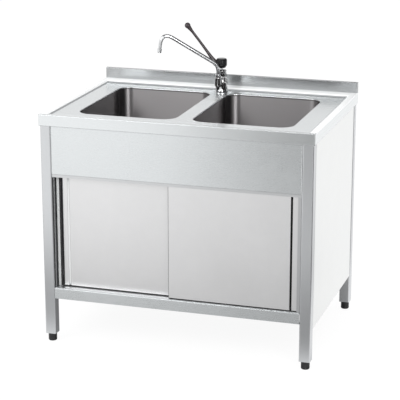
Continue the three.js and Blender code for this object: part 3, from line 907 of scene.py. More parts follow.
@dataclass
class Bowl:
    """One pressed bowl with its waste."""

    side: Side
    width: float = 364.0
    length: float = 480.0
    corner: float = 50.0
    floor_z: float = 592.0
    floor_radius: float = 38.0
    centre_x: float = 212.0
    centre_y: float = -16.0
    deck_z: float = 842.0
    lip: float = 2.5
    lip_skirt: float = 1.0
    sheet: float = 1.2
    fall: float = 2.5
    waste_radius: float = 40.0
    corner_steps: int = 10
    side_chords: int = 8

    @property
    def x(self) -> float:
        """The middle of the bowl along the unit."""
        return self.side.value * self.centre_x

    def row(self, inset: float, z: float) -> Row:
        """The bowl's outline at a height, moved inwards by an inset.

        Args:
            inset: How far it is moved inwards.
            z: Its height.

        Returns:
            The outline's points.
        """
        radius = max(self.corner - inset, 4.0)
        half_x, half_y = self.width / 2 - inset, self.length / 2 - inset
        loop = rounded_rect(half_x, half_y, radius, self.corner_steps, self.side_chords)
        return level(loop, z, self.x, self.centre_y)

    def lip_rows(self) -> list[Row]:
        """The rolled edge from the deck down into the bowl.

        Returns:
            The rows, from the deck downwards.
        """
        rows = [
            self.row(-self.lip * (1 - math.sin(turn)), self.deck_z - self.lip * (1 - math.cos(turn)))
            for turn in quarter(6)
        ]
        rows.append(self.row(0.0, self.deck_z - self.lip - self.lip_skirt))
        return rows

    def _pressing(self) -> Form:
        """Walls, rounded floor edge and floor, down to the waste.

        Returns:
            Its form.
        """
        top = self.deck_z - self.lip - self.lip_skirt
        bend = self.floor_z + self.fall + self.floor_radius
        rows = [self.row(0.0, top + (bend - top) * share) for share in (0.0, 0.02, 0.3, 0.6, 0.9, 1.0)]
        for turn in quarter(10)[1:]:
            inset = self.floor_radius * (1 - math.cos(turn))
            rows.append(self.row(inset, bend - self.floor_radius * math.sin(turn)))
        edge = rows[-1]
        middle = Vector((self.x, self.centre_y, self.floor_z))
        for share in (0.04, 0.2, 0.45, 0.7, 0.92, 1.0):
            row: Row = []
            for point in edge:
                arm = Vector((point.x - middle.x, point.y - middle.y, 0))
                inner = middle + arm.normalized() * self.waste_radius
                row.append(point.lerp(inner, share))
            rows.append(row)
        return Form().loft(rows).weld()

    def _flange(self) -> Form:
        """The ring of the waste, with the cup below it.

        Returns:
            Its form.
        """
        profile = [
            (34.0, 0.4), (40.5, 0.1), (42.0, 0.9, 0.6), (38.5, 2.8, 3.0), (34.8, 2.8, 1.5),
            (32.0, 0.0, 1.2), (31.9, -12.0, 2.0), (18.0, -14.0, 1.5), (18.0, -40.0), (20.0, -40.0),
            (20.0, -16.0), (33.5, -16.0), (34.0, 0.4),
        ]
        return Form().lathe(profile, upright(self.x, self.centre_y, self.floor_z), 64).close()

    def _strainer(self) -> Form:
        """The lift-out strainer: a pierced plate with a turned knob.

        Returns:
            Its form.
        """
        plate_z, plate, plate_radius = -13.7, 1.5, 31.6
        top = plate_z + plate
        holes = []
        for reach, count, bore in ((12.5, 6, 2.2), (20.0, 10, 2.5), (27.0, 14, 2.2)):
            for index in range(count):
                angle = TURN * index / count
                centre = (reach * math.cos(angle), reach * math.sin(angle))
                holes.append([(x + centre[0], y + centre[1]) for x, y in ring(bore, 14)][::-1])
        form = Form().pierced_plate([ring(plate_radius, 64), *holes], plate_z, top)
        knob = [
            (0.0, top - 0.4), (4.5, top - 0.2, 0.5), (2.9, top + 3.5, 1.5),
            (6.0, top + 7.0, 1.2), (3.5, top + 9.0, 1.5), (0.0, top + 9.0),
        ]
        bmesh.ops.translate(form.mesh, vec=(self.x, self.centre_y, self.floor_z), verts=form.mesh.verts)
        return form.lathe(knob, upright(self.x, self.centre_y, self.floor_z), 28).close()

    def build(self) -> None:
        """Builds and dresses the bowl and its waste."""
        label = self.side.label
        pressing = self._pressing().object(f"bowl_{label}_pressing", BOWL_STEEL, 80.0)
        settle(thicken(pressing, self.sheet), BOWL_STEEL, f"bowl_{label}")
        for name, form in (("waste_flange", self._flange()), ("waste_strainer", self._strainer())):
            dress(form, f"{name}_{label}_turned", CHROME, f"{name}_{label}")


@dataclass
class Worktop:
    """The folded top: fascia, raised rim, sunk deck, rear ledge and upstand."""

    bowls: list[Bowl]
    width: float = 1000.0
    depth: float = 700.0
    height: float = 850.0
    fascia: float = 40.0
    sheet: float = 1.5
    rim: float = 20.0
    slope: float = 12.0
    drop: float = 8.0
    ledge: float = 45.0
    edge_radius: float = 1.4
    corner_radius: float = 3.0
    upstand_height: float = 40.0
    upstand_depth: float = 15.0
    tap_x: float = 0.0
    tap_y: float = 236.0
    tap_hole: float = 17.5

    def _outer(self, inset: float, z: float) -> Row:
        """The outline of the front and both sides, open at the back.

        Args:
            inset: How far it is moved inwards.
            z: Its height.

        Returns:
            The outline's points.
        """
        x, front, rear = self.width / 2 - inset, -self.depth / 2 + inset, self.depth / 2
        radius = max(self.corner_radius - inset, 0.3)
        corners = [(-x, rear), (-x, front, radius), (x, front, radius), (x, rear)]
        return level(filleted(corners, 6), z)

    def _well(self, inset: float, z: float, radius: float) -> Row:
        """The outline of the sunk deck, `inset` from the edge of the recess.

        Args:
            inset: How far it lies inside the recess.
            z: Its height.
            radius: The radius of its corners.

        Returns:
            The outline's points.
        """
        half_x = self.width / 2 - self.rim - inset
        front = -self.depth / 2 + self.rim + inset
        rear = self.depth / 2 - self.upstand_depth - self.ledge - inset
        loop = rounded_rect(half_x, (rear - front) / 2, radius, 6)
        return level(loop, z, 0.0, (front + rear) / 2)

    def _skin(self) -> Form:
        """The sheet from the fascia's lower edge over the rim and deck into the bowls.

        Returns:
            Its form.
        """
        form = Form()
        bottom, top, deck = self.height - self.fascia, self.height, self.height - self.drop
        edge = self.edge_radius
        rows = [self._outer(0.0, bottom), self._outer(0.0, bottom + 2.0)]
        for turn in quarter(5):
            rows.append(self._outer(edge * (1 - math.cos(turn)), top - edge * (1 - math.sin(turn))))
        form.loft(rows, closed=False)
        border, corner, fold = -1.5, 9.0, 3.5
        form.fill([rows[-1], self._well(border, top, corner)])
        slope = [(border, top), (0.0, top, fold), (self.slope, deck, fold), (self.slope + 1.8, deck)]
        well = [self._well(inset, z, corner - 0.2 * inset) for inset, z in filleted(slope, 4)]
        form.loft(well)
        hole = level(ring(self.tap_hole, 32), deck, self.tap_x, self.tap_y)
        form.fill([well[-1], hole, *[bowl.lip_rows()[0] for bowl in self.bowls]])
        for bowl in self.bowls:
            form.loft(bowl.lip_rows())
        return form.weld()

    def _upstand(self) -> Form:
        """The box section along the back, with rounded upper edges.

        Returns:
            Its form.
        """
        front, back = self.depth / 2 - self.upstand_depth, self.depth / 2
        top, bottom = self.height + self.upstand_height, self.height - self.fascia
        inside = self.height - 4.0
        profile = [
            (front, inside), (front, top, 2.2), (back, top, 2.2), (back, bottom),
            (back - self.sheet, bottom), (back - self.sheet, inside),
        ]
        line = filleted(profile, 5, closed=True)
        half = self.width / 2 - 0.05
        ends = [[Vector((x, y, z)) for y, z in line] for x in (-half, half)]
        return Form().loft(ends, caps=(True, True)).close().soften(0.8, 0.3)

    def build(self) -> None:
        """Builds and dresses the worktop."""
        skin = self._skin().object("worktop_skin", WORKTOP_STEEL, 50.0)
        settle(thicken(skin, self.sheet), WORKTOP_STEEL, "worktop")
        dress(self._upstand(), "worktop_upstand", SHADED_UPSTAND_STEEL, "worktop")


# ------------------------------------------------------------------------------ frame and cupboard


@dataclass
class Leg:
    """A square tube leg with its plug and levelling foot."""

    side: Side
    rear: bool
    half: float = 20.0
    corner: float = 5.0
    wall: float = 1.5
    centre_x: float = 476.0
    centre_y: float = 326.0
    bottom: float = 30.0
    front_top: float = 840.2
    rear_top: float = 848.2
    foot_radius: float = 15.5
    foot_height: float = 29.7
    stem_radius: float = 6.0
    stem_top: float = 109.7
    plug_height: float = 24.5
    thread_pitch: float = 1.75
    thread_depth: float = 0.55

    @property
    def label(self) -> str:
        """The words that the frame's nodes use for this leg."""
        return f"{'rear' if self.rear else 'front'}_{self.side.label}"

    @property
    def centre(self) -> tuple[float, float]:
        """The leg's middle in plan."""
        return self.side.value * self.centre_x, self.centre_y if self.rear else -self.centre_y

    def _tube(self) -> Form:
        """The tube, with slightly broken ends.

        Returns:
            Its form.
        """
        top = self.rear_top if self.rear else self.front_top
        outer, inner = self.half, self.half - self.wall
        loops = [
            (outer - 0.3, self.corner, self.bottom), (outer, self.corner, self.bottom + 0.3),
            (outer, self.corner, top), (inner, self.corner - self.wall, top),
            (inner, self.corner - self.wall, self.bottom), (outer - 0.3, self.corner, self.bottom),
        ]
        x, y = self.centre
        rows = [level(rounded_rect(half, half, radius, 6), z, x, y) for half, radius, z in loops]
        return Form().loft(rows).close()

    def _plug(self) -> Form:
        """The plastic plug in the tube's end, with a plain round bore.

        Returns:
            Its form.
        """
        form = Form()
        side = self.half - self.wall - 0.4
        loops = [rounded_rect(side, side, 3.4, 5), ring(self.stem_radius + 0.4, 24)[::-1]]
        form.pierced_plate(loops, self.bottom, self.bottom + self.plug_height)
        x, y = self.centre
        bmesh.ops.translate(form.mesh, vec=(x, y, 0), verts=form.mesh.verts)
        return form.close().soften(0.6, 0.4)

    def _foot(self) -> Form:
        """The moulded foot: a waisted collar with a soft lower edge.

        Returns:
            Its form.
        """
        r, h = self.foot_radius, self.foot_height
        profile = [
            (0.0, 1.2), (r - 5.0, 1.2, 0.5), (r - 4.2, 0.0, 0.4), (r - 1.6, 0.0, 1.6), (r, 3.4, 1.5),
            (r, 9.0, 0.4), (r - 0.7, 9.8, 0.4), (r - 0.7, 11.0, 0.4), (r, 11.8, 0.4), (r, h - 1.2, 1.0),
            (r - 1.2, h, 0.6), (self.stem_radius + 1.0, h, 0.3), (0.0, h),
        ]
        return Form().lathe(profile, upright(*self.centre), 40, 3).close()

    def _stem(self) -> Form:
        """The steel stem with its screw thread.

        Returns:
            Its form.
        """
        x, y = self.centre
        count, pitch = 20, self.thread_pitch
        rows: list[Row] = []
        z = self.foot_height - 1.0
        while z < self.stem_top - 1.0:
            row: Row = []
            for index in range(count):
                phase = (z / pitch + index / count) % 1.0
                radius = self.stem_radius - self.thread_depth * abs(2 * phase - 1)
                angle = TURN * index / count
                row.append(Vector((x + radius * math.cos(angle), y + radius * math.sin(angle), z)))
            rows.append(row)
            z += pitch / 4
        rows.append(level(ring(self.stem_radius - 1.5, count), self.stem_top, x, y))
        return Form().loft(rows, caps=(True, True)).close()

    def build(self) -> None:
        """Builds and dresses the leg, its plug and its foot."""
        label = self.label
        dress(self._tube(), f"leg_{label}_tube", LEG_STEEL, f"leg_{label}")
        dress(self._plug(), f"leg_{label}_plug", FOOT_PLASTIC, f"leg_plug_{label}")
        dress(self._foot(), f"foot_{label}_moulding", FOOT_PLASTIC, f"foot_{label}")
        dress(self._stem(), f"foot_{label}_stem", TRACK_STEEL, f"foot_{label}")


@dataclass
class Cupboard:
    """The sheet pieces round and inside the cupboard, and the trim and painted shade strips of its front.
    """

    fold: float = 1.8
    sheet: float = 1.5
    lane: float = 23.5
    jamb_lip: float = 11.7
    front_lip: float = 4.7
    stop_lip: float = 22.7
    # Black strips of painted shade on the stop lip, given as spans across X from the jamb.
    seals: tuple[tuple[float, float], ...] = ((1.6, 6.2), (15.7, 22.6))
    seal_depth: float = 0.6
    plate_depth: float = 0.4
    # The depth of the black strip of painted shade on the front lip.
    cover_depth: float = 0.3
    grip: float = 0.1
    inset: float = 0.5
    # Black lines of painted shade at the doors' left edges.
    door_edge: float = 5.0
    door_edge_depth: float = 0.25
    edge_bead: float = 0.6
    # The black strip of painted shade in the gap under each door: its heights and depth.
    sweep: tuple[float, float] = (210.2, 214.3)
    sweep_depth: float = 1.2
    guide_half: float = 25.0
    rib_half: float = 5.9
    rib_gap: float = 0.02
    seam: tuple[float, float] = (453.2, 455.7)
    seam_y: tuple[float, float] = (-344.5, -342.0)
    pull_reach: float = 22.0
    pull_width: float = 7.0
    pull_depth: float = 9.6
    shallow_depth: float = 1.6
    liner: float = 0.4
    liner_play: float = 0.05
    liner_set_back: float = 0.3

    def _left_jamb(self) -> None:
        """The left jamb, with a narrow front lip and a wide stop lip.

        The stop lip carries two black strips of painted shade with a steel plate between them, and
        the front lip a black strip of painted shade.
        """
        low, high = corners_of("jamb_left")
        t, x, front, rear, stop = self.sheet, low.x, low.y, high.y, low.y + self.lane
        outline = [
            (x, front), (x + self.front_lip, front), (x + self.front_lip, front + t), (x + t, front + t),
            (x + t, stop), (x + self.stop_lip, stop), (x + self.stop_lip, stop + t), (x + t, stop + t),
            (x + t, rear - t), (x + self.jamb_lip, rear - t), (x + self.jamb_lip, rear), (x, rear),
        ]
        jamb = Form().prism(outline, low.z, high.z).close().soften(0.5, 0.25)
        dress(jamb, "jamb_left_sheet", TRACK_STEEL, "jamb_left")
        first, second = self.seals
        plate = (first[1] + self.grip, second[0] - self.grip)
        cover = (self.grip, self.front_lip - self.grip)
        # Black strips of painted shade on both lips, and a steel plate between the two on the stop lip.
        shade_strips_and_plate = (
            ("seal_0", first, stop, self.seal_depth, SHADE_BLACK),
            ("seal_1", second, stop, self.seal_depth, SHADE_BLACK),
            ("plate", plate, stop, self.plate_depth, SLOT_STEEL),
            ("cover", cover, front, self.cover_depth, SHADE_BLACK),
        )
        height = (low.z + 1.0, high.z - 1.0)
        for name, (left, right), face, depth, finish in shade_strips_and_plate:
            section = oblong(x + left, x + right, face - depth, face + self.grip)
            strip(f"jamb_left_{name}", section, height, finish, "jamb_left")

    def _seam(self, side: Side) -> None:
        """The sheet edge that closes the seam between the apron and a leg, darker grey as painted shade.

        Args:
            side: The side of the unit.
        """
        low, high = corners_of("front_panel")
        near, far = (side.value * x for x in self.seam)
        height = (low.z + 1.0, high.z - 3.0)
        section = oblong(near, far, *self.seam_y)
        strip(f"apron_seam_{side.label}", section, height, SEAM_SHADE_STEEL, "front_panel")

    def _guide(self) -> None:
        """The bottom guide: a flat sheet, a rib for the rear door and a short one for the front door."""
        low, high = corners_of("bottom_guide")
        floor = low.z + self.sheet
        form = Form().prism(oblong(low.x, high.x, low.y, high.y), low.z, floor)
        middle = (low.y + high.y) / 2
        for y, half in ((middle - self.lane / 2, self.guide_half), (middle + self.lane / 2, high.x)):
            rib = oblong(-half, half, y - self.rib_half, y + self.rib_half)
            form.prism(rib, floor + self.rib_gap, high.z)
        dress(form.close().soften(0.6, 0.25), "bottom_guide_sheet", TRACK_STEEL, "bottom_guide")

    def _edges(self, side: Side) -> None:
        """Black strips of painted shade: under a door, and along its left edge.

        The line lies on the face of the left door and beside the right one.

        Args:
            side: The side of the unit.
        """
        node = f"{side.label}_door_outer"
        low, high = corners_of(node)
        front = low.y + self.grip
        # A black strip of painted shade in the gap under the door.
        sweep = oblong(low.x + self.inset, high.x - self.inset, front, low.y + self.sweep_depth)
        strip(f"{node}_sweep", sweep, self.sweep, SHADE_BLACK, node)
        # A black line of painted shade along the door's left edge.
        if side is Side.LEFT:
            edge = oblong(low.x, low.x + self.door_edge, low.y - self.door_edge_depth, front)
        else:
            edge = oblong(low.x - self.edge_bead, low.x, front + self.grip, high.y - self.inset)
        strip(f"{node}_edge", edge, (low.z + self.inset, high.z - self.inset), SHADE_BLACK, node)

    def _pull(self, side: Side) -> None:
        """The thin liner in a pull slot: shallow steel in the left door, deep and black in the right one,
        as painted shade.

        Args:
            side: The side of the unit.
        """
        node = f"{side.label}_door_outer"
        low, high = corners_of(node)
        if side is Side.LEFT:
            slot, depth, finish = low.x + self.pull_reach, self.shallow_depth, SLOT_STEEL
        else:
            # The right liner is black: painted shade in the deep slot.
            slot, depth, finish = high.x - self.pull_reach - self.pull_width, self.pull_depth, SHADE_BLACK
        left, right = slot + self.liner_play, slot + self.pull_width - self.liner_play
        front, back, t = low.y + self.liner_set_back, low.y + depth, self.liner
        outline = [
            (left, front), (left + t, front), (left + t, back - t), (right - t, back - t),
            (right - t, front), (right, front), (right, back), (left, back),
        ]
        strip(f"{node}_liner", outline, (low.z + 8.0, high.z - 6.0), finish, node)

    def build(self) -> None:
        """Builds and dresses the panels, jambs, shelf, tracks, trim and strips of painted shade."""
        for node in ("front_panel", "front_rail"):
            folded(node, PANEL_STEEL, self.fold)
        for side in Side:
            folded(f"side_panel_{side.label}", LIT_SIDE_STEEL, self.fold)
            self._seam(side)
            self._pull(side)
            self._edges(side)
        self._left_jamb()
        folded("jamb_right", TRACK_STEEL, 0.8)
        folded("back_panel", LIT_SIDE_STEEL, self.fold)
        folded("shelf", INNER_STEEL, self.fold)
        folded("top_track", TRACK_STEEL, 0.8)
        self._guide()


@dataclass
class Door:
    """A sliding door with its two hangers and rollers."""

    side: Side
    roller_radius: float = 11.0
    roller_half: float = 3.5
    axle: float = 3.3

    def _roller(self, node: str) -> Form:
        """A nylon wheel with a shallow tread and a raised hub.

        Args:
            node: The roller's frame node.

        Returns:
            Its form.
        """
        low, high = corners_of(node)
        r, w = self.roller_radius, self.roller_half
        web = w - 0.8
        profile = [
            (self.axle, -w), (5.6, -w, 0.3), (6.2, -web, 0.3), (r - 2.2, -web, 0.4), (r - 1.6, -w, 0.3),
            (r, -w, 0.7), (r - 0.5, 0.0, 3.0), (r, w, 0.7), (r - 1.6, w, 0.3), (r - 2.2, web, 0.4),
            (6.2, web, 0.3), (5.6, w, 0.3), (self.axle, w), (self.axle, -w),
        ]
        place = Matrix.Translation((low + high) / 2) @ Matrix.Rotation(0.25 * TURN, 4, "X")
        return Form().lathe(profile, place, 48, 3).close()

    def build(self) -> None:
        """Builds and dresses the door and its running gear."""
        name = f"{self.side.label}_door"
        folded(f"{name}_outer", DOOR_STEEL, 1.4)
        folded(f"{name}_inner", INNER_STEEL, 1.0)
        for where in ("outer", "meeting"):
            folded(f"{name}_hanger_{where}", TRACK_STEEL, 0.5)
            node = f"{name}_roller_{where}"
            dress(self._roller(node), f"{node}_wheel", ROLLER_NYLON, node)


# ------------------------------------------------------------------------------ drain


@dataclass
class Drain:
    """The pipework under the bowls."""

    bowls: list[Bowl]
    radius: float = 20.0
    wall: float = 3.0
    pipe_z: float = 452.0
    bend: float = 45.0
    tee_reach: float = 60.0
    centre_y: float = -16.0
    trap_top: float = 411.7
    trap_bottom: float = 301.7
    outlet_z: float = 371.7
    outlet_end: float = 348.0
    tail_drop: float = 72.5
    tee_socket: float = 17.5

    def _tail(self, bowl: Bowl) -> Form:
        """The nut and tail piece under a bowl.

        Args:
            bowl: The bowl above it.

        Returns:
            Its form.
        """
        profile = [
            (34.3, -1.5), (44.0, -1.5, 1.0), (44.0, -20.0, 2.5), (28.0, -25.0, 3.0), (27.0, -70.0, 1.0),
            (30.0, -72.0, 1.0), (30.0, -89.0, 1.5), (20.3, -90.0, 0.4), (20.3, -72.0), (17.0, -71.0),
            (17.0, -40.5), (20.3, -40.5), (20.3, -16.5), (34.3, -16.5), (34.3, -1.5),
        ]
        return Form().lathe(profile, upright(bowl.x, bowl.centre_y, bowl.floor_z), 48, 3).close()

    def _branch(self, bowl: Bowl) -> Form:
        """The bent pipe from a tail to the tee.

        Args:
            bowl: The bowl that it drains.

        Returns:
            Its form.
        """
        sign = bowl.side.value
        corner = Vector((bowl.x, bowl.centre_y, self.pipe_z))
        path = [Vector((bowl.x, bowl.centre_y, bowl.floor_z - self.tail_drop))]
        for turn in quarter(16):
            reach_x = self.bend * (1 - math.cos(turn))
            reach_z = self.bend * (1 - math.sin(turn))
            path.append(corner + Vector((-sign * reach_x, 0, reach_z)))
        path.append(Vector((sign * (self.tee_reach - self.tee_socket), bowl.centre_y, self.pipe_z)))
        return Form().tube(path, [self.radius] * len(path), 32).close()

    def _tee(self) -> Form:
        """The tee with its three collars and the dip pipe.

        Returns:
            Its form.
        """
        place = upright(0.0, self.centre_y, self.pipe_z)
        t = self.tee_reach
        run = [
            (20.4, -t), (30.0, -t, 1.5), (30.0, 20.0 - t, 1.0), (26.0, 22.0 - t, 1.5),
            (26.0, t - 22.0, 1.5), (30.0, t - 20.0, 1.0), (30.0, t, 1.5), (20.4, t),
            (17.0, t - 18.0), (17.0, 18.0 - t), (20.4, -t),
        ]
        dip = [
            (15.0, -110.0), (18.0, -110.0, 0.5), (18.0, -40.0), (27.0, -40.0, 1.0),
            (27.0, -10.0), (15.0, -10.0), (15.0, -110.0),
        ]
        across = place @ Matrix.Rotation(0.25 * TURN, 4, "Y")
        return Form().lathe(run, across, 48, 3).lathe(dip, place, 48, 3).close()

    def _trap(self) -> Form:
        """The bottle, stepped in width, with the outlet boss.

        Returns:
            Its form.
        """
        low, top = self.trap_bottom, self.trap_top
        cup = [
            (0.0, low), (36.0, low, 3.0), (38.0, low + 22.0, 1.0), (40.0, low + 23.0, 1.0),
            (40.0, top - 24.0, 1.5), (37.5, top - 22.0, 1.0), (38.5, top - 2.0, 2.5), (18.4, top, 0.5),
            (18.4, top - 3.0), (35.0, top - 4.0), (36.0, low + 24.0), (33.0, low + 4.0), (0.0, low + 4.0),
        ]
        form = Form().lathe(cup, upright(0.0, self.centre_y), 56, 3)
        back = upright(0.0, self.centre_y, self.outlet_z) @ Matrix.Rotation(-0.25 * TURN, 4, "X")
        boss = [(20.3, 30.0), (27.0, 30.0), (27.0, 50.5, 1.5), (20.3, 52.0, 0.5), (20.3, 30.0)]
        return form.lathe(boss, back, 48, 3).close()

    def _outlet(self) -> Form:
        """The straight pipe through the back panel.

        Returns:
            Its form.
        """
        back = upright(0.0, 0.0, self.outlet_z) @ Matrix.Rotation(-0.25 * TURN, 4, "X")
        start, inner = self.centre_y + 40.0, self.radius - self.wall
        profile = [
            (inner, start), (self.radius, start, 0.4), (self.radius, self.outlet_end, 0.5),
            (inner, self.outlet_end, 0.3), (inner, start),
        ]
        return Form().lathe(profile, back, 48, 2).close()

    def build(self) -> None:
        """Builds and dresses the pipework."""
        forms = {f"waste_tail_{bowl.side.label}": self._tail(bowl) for bowl in self.bowls}
        forms |= {f"branch_pipe_{bowl.side.label}": self._branch(bowl) for bowl in self.bowls}
        forms |= {"drain_tee": self._tee(), "trap_bottle": self._trap(), "outlet_pipe": self._outlet()}
        for node, form in forms.items():
            dress(form, f"{node}_moulding", PIPE_PLASTIC, node)


# ------------------------------------------------------------------------------ tap


@dataclass(frozen=True)
class Nut:
    """A hexagon nut with turned-down corners."""

    half_flats: float
    bore: float
    low: float
    high: float
    corner_cut: float = 0.72
    corner_height: float = 1.2

    def form(self, place: Matrix) -> Form:
        """The nut's form, drawn about the +Z of a place.

        Args:
            place: Where the nut goes.

        Returns:
            Its form.
        """
        count, sixth = 48, TURN / 6
        reach = self.half_flats / math.cos(sixth / 2)
        low, high, cut = self.low, self.high, self.corner_cut
        rows: list[Row] = []
        edges = ((low, cut), (low + self.corner_height, 0.0), (high - self.corner_height, 0.0), (high, cut))
        for z, trim in edges:
            row: Row = []
            for index in range(count):
                angle = TURN * index / count
                within = (angle + sixth / 2) % sixth - sixth / 2
                radius = min(self.half_flats / math.cos(within), reach - trim)
                row.append(place @ Vector((radius * math.cos(angle), radius * math.sin(angle), z)))
            rows.append(row)
        bore = [[place @ point for point in level(ring(self.bore, count), z)] for z in (high, low)]
        return Form().loft([*rows, *bore, rows[0]]).close()


@dataclass
class Tap:
    """The lever tap with its long bent spout."""

    y: float = 236.0
    deck_z: float = 842.0
    body_z: float = 848.6
    body_top: float = 928.6
    body_turn: float = 260.0
    socket_reach: float = 30.0
    socket_bottom: float = 870.6
    socket_top: float = 905.0
    bridge: tuple[float, float] = (872.5, 902.0)
    lock_nut: Nut = Nut(23.0, 15.0, 830.2, 840.2)
    spout_nut: Nut = Nut(9.5, 7.3, 905.3, 915.0)
    spout_radius: float = 7.0
    spout_turn: float = 205.0
    spout_bottom: float = 893.0
    spout_low_z: float = 951.0
    spout_high_z: float = 1083.0
    spout_reach: float = 210.0
    spout_tip_reach: float = 220.0
    spout_tip_z: float = 1006.0
    low_bend: float = 22.0
    high_bend: float = 50.0
    bend_steps: int = 16
    pivot_z: float = 950.0
    lever_turn: float = 195.0
    lever_slope: float = 53.7
    lever_seat_reach: float = 22.0
    lever_seat_rise: float = 1.4
    lever_length: float = 178.4
    lever_bow: float = 1.5
    lever_drop: float = 11.0
    voxel: float = 0.8

    @property
    def spout_axis(self) -> Matrix:
        """The socket's axis, with +X along the spout.

        Returns:
            The axis as a placing matrix.
        """
        turn = math.radians(self.body_turn)
        x, y = self.socket_reach * math.cos(turn), self.y + self.socket_reach * math.sin(turn)
        return upright(x, y, 0.0, self.spout_turn)

    @property
    def lever_axis(self) -> Matrix:
        """The cross pin's middle, with +X along the lever."""
        return upright(0.0, self.y, self.pivot_z, self.lever_turn)

    def _base(self) -> Form:
        """The flange on the deck and the shank below it.

        Returns:
            Its form.
        """
        top, z = self.body_z - 0.3, self.deck_z
        profile = [
            (7.0, z - 48.0), (14.7, z - 48.0, 0.5), (14.7, z + 0.3), (27.0, z + 0.3, 0.4),
            (27.0, z + 2.6, 1.8), (22.6, top, 1.0), (7.0, top), (7.0, z - 48.0),
        ]
        return Form().lathe(profile, upright(0.0, self.y), 64).close()

    def _body(self) -> bpy.types.Object:
        """The casting, its column, socket and bridge grown together with soft fillets.

        Returns:
            The object, with its modifiers.
        """
        z, top = self.body_z, self.body_top
        low, high = self.socket_bottom, self.socket_top
        place = upright(0.0, self.y, 0.0, self.body_turn)
        column = [
            (0.0, z), (21.8, z, 0.5), (22.6, z + 12.0, 20.0), (23.0, z + 34.0, 40.0),
            (18.5, z + 55.0, 8.0), (18.5, top - 1.5, 1.2), (17.0, top, 0.4), (0.0, top),
        ]
        form = Form().lathe(column, place, 72, 6).close()
        cup = [(0.0, low), (11.0, low, 2.0), (12.5, low + 3.4, 3.0), (12.5, high, 1.0), (0.0, high)]
        socket = Form().lathe(cup, place @ Matrix.Translation((self.socket_reach, 0, 0)), 56, 4).close()
        half = self.socket_reach / 2
        bar = rounded_rect(half, 11.5, 4.0, 4)
        bridge = Form().prism(bar, *self.bridge, place @ Matrix.Translation((half, 0, 0)))
        bridge.close().soften(2.5, 0.4)
        for extra in (socket, bridge):
            data = bpy.data.meshes.new("tap_part")
            extra.mesh.to_mesh(data)
            extra.mesh.free()
            form.mesh.from_mesh(data)
            bpy.data.meshes.remove(data)
        piece = form.object("tap_body_casting", CAST_CHROME, 80.0)
        remesh = piece.modifiers.new("grown together", "REMESH")
        remesh.mode = "VOXEL"
        remesh.voxel_size = self.voxel * MM
        remesh.use_smooth_shade = True
        smooth = piece.modifiers.new("fillets", "SMOOTH")
        smooth.factor, smooth.iterations = 0.5, 9
        return piece

    def _spout(self) -> Form:
        """The bent tube, about its socket.

        Returns:
            Its form.
        """
        corners = [
            (0.0, self.spout_bottom), (0.0, self.spout_low_z), (self.spout_reach, self.spout_high_z),
            (self.spout_tip_reach, self.spout_tip_z),
        ]
        points = [Vector((x, 0, z)) for x, z in corners]
        path = [points[0], points[0].lerp(points[1], 0.4)]
        for index, bend in ((1, self.low_bend), (2, self.high_bend)):
            corner = points[index]
            enter = corner + (points[index - 1] - corner).normalized() * bend
            leave = corner + (points[index + 1] - corner).normalized() * bend
            for step in range(self.bend_steps + 1):
                t = step / self.bend_steps
                path.append(enter * (1 - t) ** 2 + corner * (2 * t * (1 - t)) + leave * t**2)
        path += [points[3].lerp(path[-1], 0.1), points[3]]
        path = [self.spout_axis @ point for point in path]
        return Form().tube(path, [self.spout_radius] * len(path), 36).close()

    def _aerator(self) -> Form:
        """The outlet piece on the spout's end, with a turned groove.

        Returns:
            Its form.
        """
        lean = math.atan2(self.spout_tip_reach - self.spout_reach, self.spout_high_z - self.spout_tip_z)
        tip = upright(self.spout_tip_reach, 0.0, self.spout_tip_z) @ Matrix.Rotation(-lean, 4, "Y")
        profile = [
            (0.0, 0.4), (5.0, 0.4), (5.0, -2.0), (7.4, -2.0, 0.6), (8.4, -0.6, 0.5), (8.6, 1.5, 0.3),
            (8.6, 8.5, 0.3), (8.2, 9.3, 0.3), (8.6, 10.0, 0.3), (8.6, 12.2, 0.6), (7.2, 13.0), (6.9, 12.0),
        ]
        return Form().lathe(profile, self.spout_axis @ tip, 48, 3).close()

    def _cartridge(self) -> Form:
        """The stem between the body and the hub, with its cross pin.

        Returns:
            Its form.
        """
        profile = [
            (0.0, -39.0), (14.0, -39.0), (14.0, -21.6, 0.8), (11.0, -20.0, 1.0),
            (4.0, -19.5, 0.5), (4.0, 4.0, 0.6), (0.0, 4.0),
        ]
        half, radius = 16.8, 2.5
        pin = [(0.0, -half), (radius, -half, 0.5), (radius, half, 0.5), (0.0, half)]
        across = self.lever_axis @ Matrix.Rotation(0.25 * TURN, 4, "X")
        return Form().lathe(profile, self.lever_axis, 40, 3).lathe(pin, across, 20, 2).close()

    def _hub(self) -> Form:
        """The black cap over the stem.

        Returns:
            Its form.
        """
        profile = [
            (0.0, 6.0), (11.5, 6.0), (11.5, -13.0), (14.3, -13.0, 0.6), (20.5, -3.4, 4.0),
            (20.5, 16.0, 2.0), (19.4, 17.6, 1.2), (19.4, 18.2, 0.5), (17.4, 21.6, 3.0),
            (6.0, 22.0, 8.0), (0.0, 22.0),
        ]
        return Form().lathe(profile, self.lever_axis, 64, 5).close()

